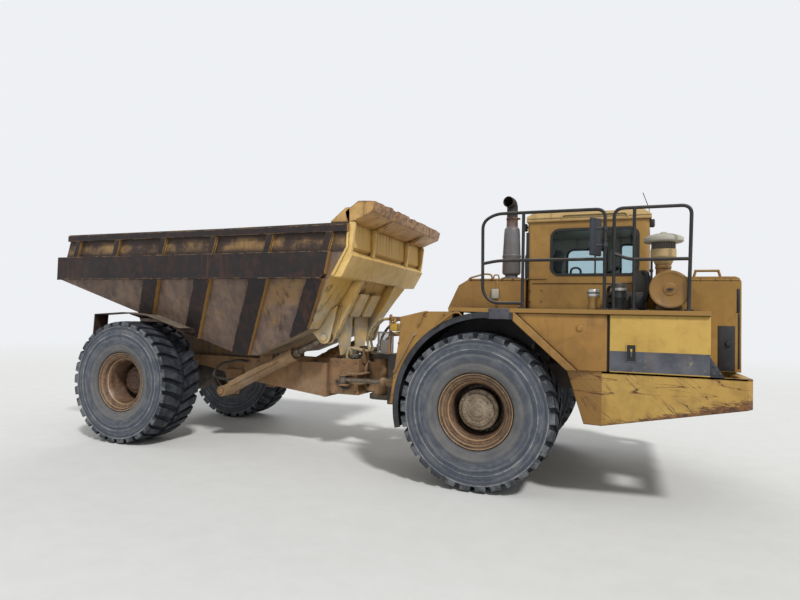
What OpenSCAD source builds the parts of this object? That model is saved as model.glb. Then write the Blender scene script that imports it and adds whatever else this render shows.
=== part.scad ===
// Two-axle articulated dump truck, straight, body down, on four earthmover tyres.
// X forward, Y to the driver's left, Z up, millimetres. The origin lies on the ground under
// the middle of the machine. fx(d) is a place d ahead of the front axle, rx(d) of the rear,
// px(d) of the steering pivot.

/* [Vehicle] */
// Distance between the two axles
wheelbase = 5614; // [5580:1:5700]
// Front axle to the bumper's front face
front_overhang = 2860; // [2850:1:2950]
// Rear axle to the tail of the body
rear_overhang = 1700; // [1690:1:1760]
// Steering pivot behind the front axle
pivot_back = 1950; // [1940:1:1970]
// Body hinge behind the rear axle
hinge_back = 680; // [670:1:700]
// Height of the body hinge
hinge_z = 1400; // [1390:1:1410]

/* [Wheels] */
// Tyre radius, hub height
tyre_r = 945; // [935:1:950]
// Tyre width
tyre_w = 746; // [736:1:750]
// Middle of each tyre off the centre line
half_track = 1360; // [1355:1:1370]
// Radius of the rim flange
rim_r = 457; // [450:1:465]
// Radius of the hub drum
hub_r = 262; // [250:1:270]
// Radius of the axle spindle
spindle_r = 110; // [100:1:120]
// Shoulder lugs on each side of a tyre
lug_count = 26; // [20:1:30]
// Depth of the grooves between the lugs
groove_depth = 40; // [20:1:45]

/* [Front frame] */
// Inner face of the front rails off the centre line
rail_in = 330; // [325:1:335]
// Width of a front rail
rail_w = 120; // [110:1:125]
// Underside of the front rails
rail_z0 = 1170; // [1160:1:1180]
// Top of the front rails
rail_z1 = 1470; // [1460:1:1475]
// Radius of the steering pin
pin_r = 60; // [50:1:70]
// Radius of the fork plates round the pin
fork_r = 165; // [150:1:170]

/* [Front bodywork] */
// Half width over the deck
deck_y = 1690; // [1685:1:1700]
// Walking surface of the deck
deck_z = 2180; // [2175:1:2190]
// Thickness of the deck plate
deck_t = 50; // [45:1:50]
// Top of the bumper and foot of the side boxes
bumper_z1 = 1495; // [1490:1:1500]
// Wall of the bumper skirt
bumper_t = 16; // [12:1:20]
// Half width of the hood
hood_y = 1060; // [1050:1:1065]
// Top of the hood
hood_z1 = 2590; // [2580:1:2610]
// Wall of the hood
hood_t = 25; // [20:1:30]
// Radius of the wheel arch
arch_r = 1180; // [1175:1:1180]

/* [Cab] */
// Half width of the cab
cab_y = 820; // [810:1:825]
// Rear wall of the cab ahead of the front axle
cab_x0 = 450; // [450:1:460]
// Front wall of the cab ahead of the front axle
cab_x1 = 1920; // [1910:1:1930]
// Underside of the cab floor
cab_z0 = 1860; // [1850:1:1870]
// Top of the cab roof
cab_z1 = 3440; // [3430:1:3460]
// Wall of the cab
cab_t = 60; // [50:1:65]

/* [Dump body] */
// Half width of the body inside its rails
tub_y = 1440; // [1430:1:1450]
// Half width of the body's lowest line
floor_y = 970; // [960:1:980]
// Top of the body sides
tub_z1 = 3290; // [3280:1:3300]
// Wall of the body
tub_t = 20; // [16:1:22]
// How far the side rails stand out
rail_out = 80; // [75:1:85]

/* [Cylinders] */
// Hoist cylinders off the centre line
hoist_y = 780; // [778:1:782]
// Outer radius of a hoist barrel
hoist_r = 80; // [78:1:82]
// Outer radius of a steering barrel
steer_r = 55; // [50:1:58]

/* [Hidden] */
$fn = 96;
// Gap between parts that sit on or in each other
fit = 0.3;
front_axle_x = (wheelbase + rear_overhang - front_overhang) / 2;
rear_axle_x = front_axle_x - wheelbase;
function fx(d) = front_axle_x + d;
function rx(d) = rear_axle_x + d;
function px(d) = fx(-pivot_back) + d;
yellow = "#c9962f";
rust = "#6d4a33";
black = "#26262a";
grey = "#6f7378";
rubber = "#3b3f47";
steel = "#9a9c9e";
glass = "#8fb0c0";

// Wheels
bead_r = rim_r - 85;
rim_w = 636;
spindle_end = -150;
axle_end = rim_w / 2 + 60;

// Front half
rail_y1 = rail_in + rail_w;
tower_z = 1800;
fork_t = 70;
fork_z0 = 760;
fork_z1 = 1400;
deck_foot = deck_z - deck_t;
landing_z = 1900;
arch_x = 130;
arch_z = deck_foot - fit - arch_r;
box_y0 = 1100;
box_y1 = 1660;
hood_x0 = 1960;
hood_front = front_overhang - 10;
hood_z0 = bumper_z1 + 25;
hood_hinge_x = front_overhang - 70;
hood_hinge_z = bumper_z1 + 110;
lamp_y0 = 1000;
lamp_z0 = 1290;
sill_z = 2620;
head_z = 3240;
eave_z = 3330;
door_x0 = 700;
door_x1 = 1500;
door_z0 = cab_z0 + 70;
door_z1 = 3290;
door_hinges = [2150, 3050];
pane_t = 8;
exhaust_x = 235;
exhaust_y = -750;
cleaner_x = 2090;
cleaner_z = 2411;
rail_r = 19;
post_y = 1640;
rail_top = 3305;
rail_mid = 2745;

// Steering cylinders, from the pivot
steer_x0 = 1550;
steer_y0 = 680;
steer_z = 1100;
eye_z = 1110;
elbow_extra = 1.5;
eye_half = steer_r + 5;
rod_pin = [-300, 700];
steer_rod_r = 35;
steer_len = norm([steer_x0 - rod_pin[0], rod_pin[1] - steer_y0]);

// Rear half
osc_z = 1110;
osc_r = 180;
frame_y0 = 400;
frame_y1 = 500;
frame_top = 1335;
frame_foot = 1160;
head_x0 = -190.3;
head_x1 = -700;
tub_low = 1410;
rim_z = 2555;
wall_z = tub_z1 + 40;
tail = -rear_overhang;
rail_z = 2930;
beam_y = 285;

// Hoist cylinders, from the rear axle
hoist_x0 = 1254;
hoist_z0 = 800;
hoist_x1 = 3104;
hoist_z1 = 1725;
stage_r = 66;
hoist_rod_r = 50;
hoist_len = norm([hoist_x1 - hoist_x0, hoist_z1 - hoist_z0]);

// Shapes used again and again
module box(x0, x1, y0, y1, z0, z1) {
  translate([x0, y0, z0]) cube([x1 - x0, y1 - y0, z1 - z0]);
}
module side_cut(points, y0, y1) {
  // An outline in X and Z, from y0 to y1
  translate([0, y1, 0]) rotate([90, 0, 0]) linear_extrude(y1 - y0) polygon(points);
}
module cross_cut(points, x0, x1) {
  // An outline in Y and Z, from x0 to x1
  translate([x0, 0, 0]) rotate([90, 0, 90]) linear_extrude(x1 - x0) polygon(points);
}
module plan_cut(points, z0, z1) {
  translate([0, 0, z0]) linear_extrude(z1 - z0) polygon(points);
}
module pin_x(x0, x1, y, z, r) {
  translate([x0, y, z]) rotate([0, 90, 0]) cylinder(r = r, h = x1 - x0);
}
module pin_y(x, y0, y1, z, r) {
  translate([x, y1, z]) rotate([90, 0, 0]) cylinder(r = r, h = y1 - y0);
}
module pin_z(x, y, z0, z1, r) {
  translate([x, y, z0]) cylinder(r = r, h = z1 - z0);
}
module both() {
  children();
  mirror([0, 1, 0]) children();
}
module stick(a, b, r) {
  // A round bar from a to b
  d = b - a;
  turn = atan2(d[1], d[0]);
  lean = acos(d[2] / norm(d));
  translate(a) rotate([0, lean, turn]) cylinder(r = r, h = norm(d), $fn = 24);
}
module pipe(points, r) {
  // Round bars through the points, with ball corners
  for (i = [0 : len(points) - 2]) stick(points[i], points[i + 1], r);
  if (len(points) > 2)
    for (i = [1 : len(points) - 2]) translate(points[i]) sphere(r = r + elbow_extra, $fn = 24);
}

// Wheels
module at_wheel(axle_x, side) {
  // Local Z points outward along the axle
  translate([axle_x, side * half_track, tyre_r]) rotate([side < 0 ? 90 : -90, 0, 0]) children();
}
module tyre(axle_x, side) {
  half = tyre_w / 2;
  section = [
    [bead_r + fit, -rim_w / 2], [bead_r + fit, rim_w / 2], [rim_r + 1, rim_w / 2],
    [rim_r + 1, rim_w / 2 + 22], [rim_r + 8, half - 30], [rim_r + 75, half - 6],
    [rim_r + 190, half], [rim_r + 300, half - 10], [tyre_r - 85, half - 30],
    [tyre_r - 30, half - 52], [tyre_r, half - 95], [tyre_r, 95 - half], [tyre_r - 30, 52 - half],
    [tyre_r - 85, 30 - half], [rim_r + 300, 10 - half], [rim_r + 190, -half],
    [rim_r + 75, 6 - half], [rim_r + 8, 30 - half], [rim_r + 1, -rim_w / 2 - 22],
    [rim_r + 1, -rim_w / 2]
  ];
  groove_w = 40;
  groove_l = 190;
  color(rubber) at_wheel(axle_x, side) difference() {
    rotate_extrude() polygon(section);
    for (i = [0 : lug_count - 1], end = [-1, 1])
      rotate(i * 360 / lug_count + (end > 0 ? 0 : 180 / lug_count))
        translate([tyre_r - groove_depth, -groove_w / 2, end > 0 ? half - groove_l : -half - 1])
          cube([groove_depth + 1, groove_w, groove_l + 1]);
  }
}
module rim(axle_x, side, drum_out) {
  // Barrel, dish and disc in one casting with the hub drum, bored for the spindle
  half = rim_w / 2;
  section = [
    [0, drum_out - 30], [hub_r - 60, drum_out - 30], [hub_r - 60, drum_out], [hub_r, drum_out],
    [hub_r, drum_out - 130], [hub_r + 28, drum_out - 130], [hub_r + 28, drum_out + 20],
    [bead_r - 30, half - 6], [bead_r, half + 10], [rim_r - 12, half + 12], [rim_r, half + 22],
    [rim_r, half], [bead_r, half], [bead_r, -half], [rim_r, -half], [rim_r, -half - 22],
    [rim_r - 20, -half - 22], [bead_r - 18, -half - 10], [bead_r - 18, drum_out - 180],
    [hub_r - 30, drum_out - 180], [hub_r - 30, -half - 40], [spindle_r + fit, -half - 40],
    [spindle_r + fit, spindle_end], [0, spindle_end]
  ];
  color("#9a5f35") at_wheel(axle_x, side) rotate_extrude() polygon(section);
}
module axle(x) {
  // Tapered housing with the differential bowl, and the two spindles
  end = half_track - axle_end;
  translate([x, 0, tyre_r]) rotate([90, 0, 0]) rotate_extrude() polygon([
    [0, -end], [190, -end], [190, 60 - end], [140, 110 - end], [150, -330], [290, -170],
    [290, 170], [150, 330], [140, end - 110], [190, end - 60], [190, end], [0, end]
  ]);
  both() pin_y(x, end, half_track + spindle_end - 1, tyre_r, spindle_r);
}

// Front half
module front_frame() {
  rail = [
    [px(310), 750], [px(700), 750], [fx(-800), rail_z0], [fx(2560), rail_z0], [fx(2560), rail_z1],
    [fx(-800), rail_z1], [fx(-1250), 1500], [px(310), 1500]
  ];
  lug_z0 = steer_z - eye_half - 40;
  color(black) {
    both() {
      side_cut(rail, rail_in, rail_y1);
      for (x = [1250, 2150])
        box(fx(x), fx(x + 100), rail_y1, 1560 - fit, bumper_z1 - 100, bumper_z1);
      for (x = [600, 1700])
        box(fx(x), fx(x + 100), rail_in + 20, rail_y1 - 20, rail_z1, cab_z0 - fit);
      box(fx(2600), fx(2660), rail_in, 1000, 1380, bumper_z1);
      box(fx(2560), fx(2600), rail_in, 500, rail_z0 + 100, rail_z1);
      // Towers over the suspension struts
      box(fx(-140), fx(140), rail_y1, rail_y1 + 20, rail_z0, tower_z + 30);
      box(fx(-140), fx(140), rail_y1, 640, tower_z, tower_z + 30);
      // Lugs and pins of the steering cylinders
      for (z = [lug_z0, steer_z + eye_half + fit]) {
        box(px(steer_x0 - 62), px(steer_x0 + 62), rail_y1, steer_y0, z, z + 40 - fit);
        pin_z(px(steer_x0), steer_y0, z, z + 40 - fit, 62);
      }
      pin_z(px(steer_x0), steer_y0, lug_z0, steer_z + eye_half + 40, 30);
      box(px(steer_x0 - 62), px(steer_x0 + 62), rail_y1, rail_y1 + 30, lug_z0, rail_z1);
    }
    box(px(310), px(360), -rail_y1, rail_y1, 750, 1500);
    for (x = [-760, 500]) box(fx(x), fx(x + 80), -rail_in, rail_in, rail_z0, 1240);
    box(fx(2480), fx(2660), -rail_in, rail_in, rail_z0 + 100, rail_z1);
    for (z = [fork_z0, fork_z1]) {
      box(px(0), px(310), -fork_r, fork_r, z, z + fork_t);
      pin_z(px(0), 0, z, z + fork_t, fork_r);
    }
    pin_z(px(0), 0, fork_z0, fork_z1 + fork_t + 15, pin_r);
  }
}
module front_axle() {
  color(black) {
    axle(fx(0));
    both() for (x = [-75, 75]) pin_z(fx(x), 560, tyre_r + 120, tower_z - fit, 48);
  }
}
module engine() {
  // Engine and gearbox as plain blocks, the radiator, and what stands beside the cab
  inner = rail_in - fit;
  foot = deck_z + fit;
  color(grey) {
    box(fx(1000), fx(2300), -inner, inner, rail_z0 + 80, 1820);
    box(fx(-600), fx(400), -inner, inner, rail_z0 + 80, 1800);
    box(fx(2560), fx(2660), -780, 780, bumper_z1 + fit, 2420);
    box(fx(1450), fx(1880), -1240, -900, foot, 2400);
    box(fx(1760), fx(1880), -1140, -900, 2399, 2660);
    pin_z(fx(1310), -1500, foot, 2330, 52);
    pin_z(fx(1310), -1500, 2329, 2380, 68);
    pin_z(fx(1576), -1460, foot, 2400, 70);
    pin_z(fx(1576), -1460, 2399, 2480, 84);
  }
}
module bumper_plan(inset) {
  // Outline seen from above, with chamfered corners
  w = box_y1 - inset;
  n = front_overhang - inset;
  c = inset * 0.4;
  polygon([
    [fx(1000), -w], [fx(n - 260 + c), -w], [fx(n), c - 1430], [fx(n), 1430 - c],
    [fx(n - 260 + c), w], [fx(1000), w]
  ]);
}
module bumper() {
  side = [
    [fx(1030), bumper_z1], [fx(front_overhang), bumper_z1], [fx(front_overhang), 1190],
    [fx(1400), 900], [fx(1225), 900]
  ];
  inner = front_overhang - bumper_t;
  color(yellow) {
    difference() {
      intersection() {
        side_cut(side, -1700, 1700);
        difference() {
          translate([0, 0, 880]) linear_extrude(bumper_z1 - 880) bumper_plan(0);
          translate([0, 0, 870]) linear_extrude(bumper_z1 - 870 - bumper_t) bumper_plan(bumper_t);
          translate([0, 0, 870]) linear_extrude(bumper_z1 - 860) bumper_plan(100);
        }
      }
      both() box(fx(inner - 1), fx(front_overhang + 1), lamp_y0, lamp_y0 + 260, lamp_z0, lamp_z0 + 130);
    }
    both() {
      // Tow eye, and the post and pin that the hood turns on
      difference() {
        side_cut([
          [fx(2665), bumper_z1 - bumper_t], [fx(inner), bumper_z1 - bumper_t], [fx(inner), 1210],
          [fx(2820), eye_z - 50], [fx(2740), eye_z - 50]
        ], 350, 390);
        pin_y(fx(2780), 349, 391, eye_z, 32);
      }
      box(fx(hood_hinge_x - 25), fx(hood_hinge_x + 25), 940, 970, bumper_z1 - 1, hood_hinge_z + 25);
      pin_y(fx(hood_hinge_x), 898, 941, hood_hinge_z, 20);
    }
  }
}
module hood() {
  outer = [
    [fx(hood_x0), hood_z0], [fx(hood_front), hood_z0], [fx(hood_front), hood_z1 - 60],
    [fx(hood_front - 20), hood_z1 - 18], [fx(hood_front - 60), hood_z1], [fx(hood_x0), hood_z1]
  ];
  inner_x = hood_front - hood_t;
  inner_y = hood_y - hood_t;
  bar_y = hood_y - 60;
  color(yellow) {
    difference() {
      side_cut(outer, -hood_y, hood_y);
      box(fx(hood_x0 - 1), fx(inner_x), -inner_y, inner_y, hood_z0 - 1, hood_z1 - hood_t);
      box(fx(inner_x - 1), fx(hood_front + 1), -800, 800, hood_z0 + 130, hood_z1 - 120);
      both() box(fx(inner_x - 1), fx(hood_front + 1), 934, 976, hood_z0 - 1, hood_hinge_z + 45);
    }
    both() {
      difference() {
        side_cut([
          [fx(hood_hinge_x - 60), hood_hinge_z + 300], [fx(hood_hinge_x - 40), hood_hinge_z - 35],
          [fx(hood_hinge_x + 25), hood_hinge_z - 35], [fx(inner_x), hood_hinge_z],
          [fx(inner_x), hood_hinge_z + 300]
        ], 900, 930);
        pin_y(fx(hood_hinge_x), 890, 940, hood_hinge_z, 20 + fit);
      }
      pipe([
        [fx(2380), bar_y, hood_z1 - 1], [fx(2400), bar_y, hood_z1 + 70],
        [fx(2630), bar_y, hood_z1 + 70], [fx(2650), bar_y, hood_z1 - 1]
      ], 14);
    }
  }
}
module grille() {
  x0 = fx(hood_front - hood_t);
  x1 = fx(hood_front - 5);
  half = 800 - fit;
  color(black) {
    box(x0, x1, -half, half, hood_z0 + 130 + fit, hood_z0 + 160);
    box(x0, x1, -half, half, hood_z1 - 150, hood_z1 - 120 - fit);
    for (y = [-785 : 157 : 786]) box(x0, x1, y - 12, y + 12, hood_z0 + 160, hood_z1 - 150);
  }
}
module side_boxes() {
  // Tank behind, tool box ahead; on the left the tank is low under the landing
  foot = bumper_z1 + fit;
  slope = (deck_foot - bumper_z1) / 700;
  for (side = [-1, 1]) color(yellow) {
    top = (side < 0 ? deck_foot : landing_z - deck_t) - fit;
    y0 = side < 0 ? -box_y1 : box_y0;
    y1 = side < 0 ? -box_y0 : box_y1;
    edge = 1150 + 2 * fit;
    side_cut([
      [fx(edge), foot], [fx(1465), foot], [fx(1465), top], [fx(edge - (top - foot) / slope), top]
    ], y0, y1);
    box(fx(1490), fx(2475), y0, y1, foot, deck_foot - fit);
    side_cut([[fx(2475), foot], [fx(2600), foot], [fx(2475), foot + 190]],
      side < 0 ? y0 : y1 - 20, side < 0 ? y0 + 20 : y1);
  }
}
module deck() {
  inner = cab_y + 20;
  hood_gap = hood_y + 15;
  color(black) {
    for (side = [-1, 1])
      plan_cut([
        [fx(-350), side * deck_y], [fx(-350), side * 500], [fx(440), side * 500],
        [fx(440), side * deck_y]
      ], deck_foot, deck_z);
    plan_cut([
      [fx(440), -deck_y], [fx(440), -inner], [fx(hood_x0 - 30), -inner],
      [fx(hood_x0 - 30), -hood_gap], [fx(2475), -hood_gap], [fx(2475), -deck_y]
    ], deck_foot, deck_z);
    plan_cut([
      [fx(1500), deck_y], [fx(1500), 1000], [fx(1570), 1000], [fx(1570), inner],
      [fx(hood_x0 - 30), inner], [fx(hood_x0 - 30), hood_gap], [fx(2475), hood_gap],
      [fx(2475), deck_y]
    ], deck_foot, deck_z);
    box(fx(770), fx(1465), inner, deck_y, landing_z - deck_t, landing_z);
  }
}
module ring_part(r0, r1, a0, a1, y0, y1) {
  // Part of a ring about the wheel arch, angles from +X towards +Z
  translate([fx(arch_x), y1, arch_z]) rotate([90, 0, 0])
    rotate(a0) rotate_extrude(angle = a1 - a0) translate([r0, 0]) square([r1 - r0, y1 - y0]);
}
module front_mudguards() {
  top = arch_z + arch_r;
  color(black) both() {
    ring_part(arch_r - 15, arch_r, 90, 194, 1010, deck_y - 20);
    ring_part(arch_r - 70, arch_r, 90, 194, deck_y - 20, deck_y);
    box(fx(arch_x), fx(425), 1010, deck_y - 20, top - 15, top);
    box(fx(arch_x), fx(425), deck_y - 20, deck_y, top - 80, top);
  }
}
module fenders() {
  // Box behind each arch, and the sloping strut from the deck to the bumper
  top = deck_foot - fit;
  foot = bumper_z1 + fit;
  color(yellow) both() {
    difference() {
      side_cut([
        [fx(-300), top], [fx(-673), top - 5], [fx(-974), top - 78], [fx(-975), top - 268],
        [fx(-1094), 963], [fx(-300), 963]
      ], 1150, deck_y);
      pin_y(fx(arch_x), 1149, deck_y + 1, arch_z, arch_r + fit);
    }
    side_cut([[fx(430), top], [fx(450), top], [fx(1150), foot], [fx(1130), foot]], box_y0, deck_y);
    side_cut([[fx(430), top], [fx(1130), foot], [fx(1035), foot], [fx(430), top - 95]],
      deck_y - 20, deck_y);
  }
}
module rear_cover() {
  foot = deck_z + fit;
  color(yellow) side_cut([
    [fx(-600), foot], [fx(440), foot], [fx(440), hood_z1], [fx(-300), hood_z1], [fx(-450), 2500]
  ], -880, 880);
}
module round_plan(x0, x1, half_y, r, z0, z1) {
  // A block with round upright edges
  translate([0, 0, z0]) linear_extrude(z1 - z0) union() {
    translate([x0 + r, -half_y]) square([x1 - x0 - 2 * r, 2 * half_y]);
    translate([x0, r - half_y]) square([x1 - x0, 2 * (half_y - r)]);
    for (x = [x0 + r, x1 - r], y = [r - half_y, half_y - r]) translate([x, y]) circle(r);
  }
}
module cab_shell() {
  inner = cab_y - cab_t;
  knuckle = cab_y + 24;
  color(yellow) {
    difference() {
      round_plan(fx(cab_x0), fx(cab_x1), cab_y, 60, cab_z0, eave_z);
      box(fx(cab_x0 + cab_t), fx(cab_x1 - cab_t), -inner, inner, cab_z0 + 50, eave_z + 1);
      box(fx(740), fx(1810), -cab_y - 1, 1 - inner, sill_z, head_z);
      box(fx(door_x0), fx(door_x1), inner - 1, cab_y + 1, door_z0, door_z1);
      box(fx(1570), fx(1810), inner - 1, cab_y + 1, sill_z, head_z);
      box(fx(cab_x0 - 1), fx(cab_x0 + cab_t + 1), -640, 640, sill_z + 60, head_z);
      box(fx(cab_x1 - cab_t - 1), fx(cab_x1 + 1), -720, 720, sill_z, head_z);
    }
    side_cut([
      [fx(cab_x0 - 10), eave_z], [fx(cab_x1 + 20), eave_z], [fx(cab_x1 + 20), eave_z + 50],
      [fx(cab_x1 - 60), cab_z1], [fx(cab_x0 + 60), cab_z1], [fx(cab_x0 - 10), eave_z + 70]
    ], -cab_y - 10, cab_y + 10);
    for (z = door_hinges) difference() {
      union() {
        pin_z(fx(door_x1 + 20), knuckle, z, z + 40, 20);
        box(fx(door_x1 + 8), fx(door_x1 + 32), cab_y - 1, cab_y + 10, z, z + 40);
      }
      pin_z(fx(door_x1 + 20), knuckle, z - 1, z + 41, 10 + fit);
    }
  }
}
module cab_door() {
  gap = 5;
  x0 = fx(door_x0 + gap);
  x1 = fx(door_x1 - gap);
  knuckle = cab_y + 24;
  color(yellow) {
    difference() {
      box(x0, x1, cab_y - cab_t, cab_y, door_z0 + gap, door_z1 - gap);
      box(x0 + 90, x1 - 90, cab_y - cab_t - 1, cab_y + 1, sill_z - 60, door_z1 - 110);
    }
    for (z = door_hinges) {
      pin_z(fx(door_x1 + 20), knuckle, z + 41, z + 90, 20);
      pin_z(fx(door_x1 + 20), knuckle, z - 10, z + 42, 10);
      box(x1 - 60, fx(door_x1 + 20), cab_y + 5, cab_y + 20, z + 42, z + 90);
      box(x1 - 60, x1 - 30, cab_y - 1, cab_y + 20, z + 42, z + 90);
    }
    pin_x(fx(door_x0 + 40), fx(door_x0 + 160), cab_y + 11, 2420, 12);
  }
}
module cab_glass() {
  // Panes in the middle of the walls, a hair clear of the frames
  in_y = cab_y - cab_t / 2;
  rear_x = fx(cab_x0 + 30);
  front_x = fx(cab_x1 - 30);
  color(glass, 0.5) {
    box(fx(740) + fit, fx(1810) - fit, -in_y, pane_t - in_y, sill_z + fit, head_z - fit);
    box(fx(1570) + fit, fx(1810) - fit, in_y - pane_t, in_y, sill_z + fit, head_z - fit);
    box(rear_x, rear_x + pane_t, fit - 640, 640 - fit, sill_z + 60 + fit, head_z - fit);
    box(front_x, front_x + pane_t, fit - 720, 720 - fit, sill_z + fit, head_z - fit);
  }
}
module door_glass() {
  in_y = cab_y - cab_t / 2;
  color(glass, 0.5)
    box(fx(door_x0 + 95) + fit, fx(door_x1 - 95) - fit, in_y - pane_t, in_y,
      sill_z - 60 + fit, door_z1 - 110 - fit);
}
module cab_inside() {
  // Seat, console and steering wheel
  floor_z = cab_z0 + 50 + fit;
  color(black) {
    box(fx(720), fx(1120), -220, 220, floor_z, floor_z + 381);
    side_cut([
      [fx(700), floor_z + 380], [fx(1200), floor_z + 380], [fx(1200), floor_z + 500],
      [fx(850), floor_z + 480], [fx(740), floor_z + 1150], [fx(640), floor_z + 1150]
    ], -250, 250);
    box(fx(1600), fx(cab_x1 - cab_t - fit), -750, 750, floor_z, floor_z + 620);
    stick([fx(1640), 0, floor_z + 600], [fx(1430), 0, floor_z + 800], 30);
    translate([fx(1430), 0, floor_z + 800]) rotate([0, -35, 0]) {
      rotate_extrude() translate([190, 0]) circle(16);
      translate([-190, -14, -8]) cube([380, 28, 16]);
    }
  }
}
module exhaust() {
  color(rust) translate([fx(exhaust_x), exhaust_y, hood_z1 + fit]) {
    rotate_extrude() polygon([
      [0, 0], [75, 0], [118, 30], [118, 640], [70, 690], [70, 940], [0, 940]
    ]);
    translate([-110, 0, 939]) rotate([90, 0, 0]) rotate_extrude(angle = 62)
      translate([110, 0]) difference() {
        circle(72);
        circle(64);
      }
  }
}
module air_cleaner() {
  // Lying drum with its intake stack and cap, on two feet
  color(yellow) {
    pin_y(fx(cleaner_x), -1590, -1130, cleaner_z, 185);
    pin_y(fx(cleaner_x), -1610, -1589, cleaner_z, 205);
    for (y = [-1530, -1240])
      box(fx(cleaner_x - 90), fx(cleaner_x + 90), y, y + 40, deck_z + fit, cleaner_z - 150);
    translate([fx(cleaner_x - 50), -1330, 0]) rotate_extrude() polygon([
      [0, cleaner_z + 150], [75, cleaner_z + 150], [75, 2640], [135, 2700], [135, 2880],
      [120, 2880], [120, 2960], [190, 2965], [190, 3020], [90, 3070], [0, 3070]
    ]);
  }
}
module handrails() {
  // Each bar: side, then the points in X and Z; on the left the way to the ladder stays open
  foot = deck_z + fit;
  low = deck_z + 62;
  side_foot = landing_z + fit;
  bars = [
    [-1, [[1430, foot], [1430, rail_top], [238, rail_top], [50, rail_top - 85], [62, low + 100],
      [160, low], [1430, low]]],
    [-1, [[530, foot], [530, rail_top]]],
    [-1, [[56, rail_mid], [1430, rail_mid]]],
    [-1, [[1525, foot], [1525, rail_top - 80], [1600, rail_top], [2213, rail_top],
      [2290, rail_top - 100], [2268, foot + 1]]],
    [-1, [[1732, foot], [1732, rail_top]]],
    [-1, [[1525, rail_mid - 10], [2279, rail_mid - 10]]],
    [1, [[400, foot], [400, rail_top], [238, rail_top], [50, rail_top - 85], [62, low + 100],
      [160, low], [400, low]]],
    [1, [[56, rail_mid], [400, rail_mid]]],
    [1, [[800, side_foot], [800, rail_mid + 215], [960, rail_mid + 215], [960, side_foot]]],
    [1, [[800, rail_mid - 280], [960, rail_mid - 280]]],
    [1, [[2050, foot], [2050, rail_top], [2213, rail_top], [2290, rail_top - 100], [2268, foot + 1]]],
    [1, [[2050, rail_mid], [2279, rail_mid]]]
  ];
  color(black) for (bar = bars) pipe([for (p = bar[1]) [fx(p[0]), bar[0] * post_y, p[1]]], rail_r);
}
module mirrors() {
  // Each on two arms from a handrail post
  color(black) for (m = [[-1, 1430], [1, 2050]]) {
    x1 = fx(m[1] - rail_r - fit);
    y = m[0] * post_y;
    box(x1 - 105, x1 - 65, y - 100, y + 100, 2780, 3210);
    for (z = [2900, 3100]) pin_x(x1 - 66, x1, y, z, 12);
  }
}
module lamps() {
  z = eave_z - 100;
  color(black) both() {
    box(fx(cab_x0 - 80), fx(cab_x0 - fit), 660, 760, z, z + 98);
    box(fx(cab_x1 + fit), fx(cab_x1 + 60), 660, 760, z, z + 98);
    box(fx(front_overhang - 90), fx(front_overhang - 2), lamp_y0 + fit, lamp_y0 + 260 - fit,
      lamp_z0 + fit, lamp_z0 + 130 - fit);
  }
}
module ladder() {
  y0 = box_y1 + fit;
  y1 = box_y1 + 60;
  color(black) {
    for (x = [1520, 1960]) box(fx(x), fx(x + 30), y0, y1, 520, 2110);
    for (z = [540 : 310 : 2100]) box(fx(1549), fx(1961), y0, y1, z, z + 30);
  }
}

// Rear half
module hitch() {
  // Knuckle between the forks, the tube that the rear frame turns on, and the steering ears
  ear = [
    [px(-100), 110], [px(-100), 440], [px(-230), 735], [px(-360), 650], [px(-330), 480],
    [px(-188), 470], [px(-165), 400], [px(-150), 110]
  ];
  color(black) {
    difference() {
      union() {
        pin_z(px(0), 0, fork_z0 + fork_t + fit, fork_z1 - fit, 130);
        box(px(-151), px(0), -120, 120, osc_z - 230, osc_z + 230);
      }
      pin_z(px(0), 0, fork_z0, fork_z1 + 1, pin_r + fit);
    }
    pin_x(px(-185), px(-150), 0, osc_z, 260);
    pin_x(px(head_x1 + fit), px(-184), 0, osc_z, osc_r);
    both() for (z = [steer_z - eye_half - 26, steer_z + eye_half + 1]) {
      plan_cut(ear, z, z + 25);
      pin_z(px(rod_pin[0]), rod_pin[1], z, z + 25, 80);
    }
    both() pin_z(px(rod_pin[0]), rod_pin[1], steer_z + eye_half + 25, steer_z + eye_half + 50, 42);
  }
}
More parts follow.
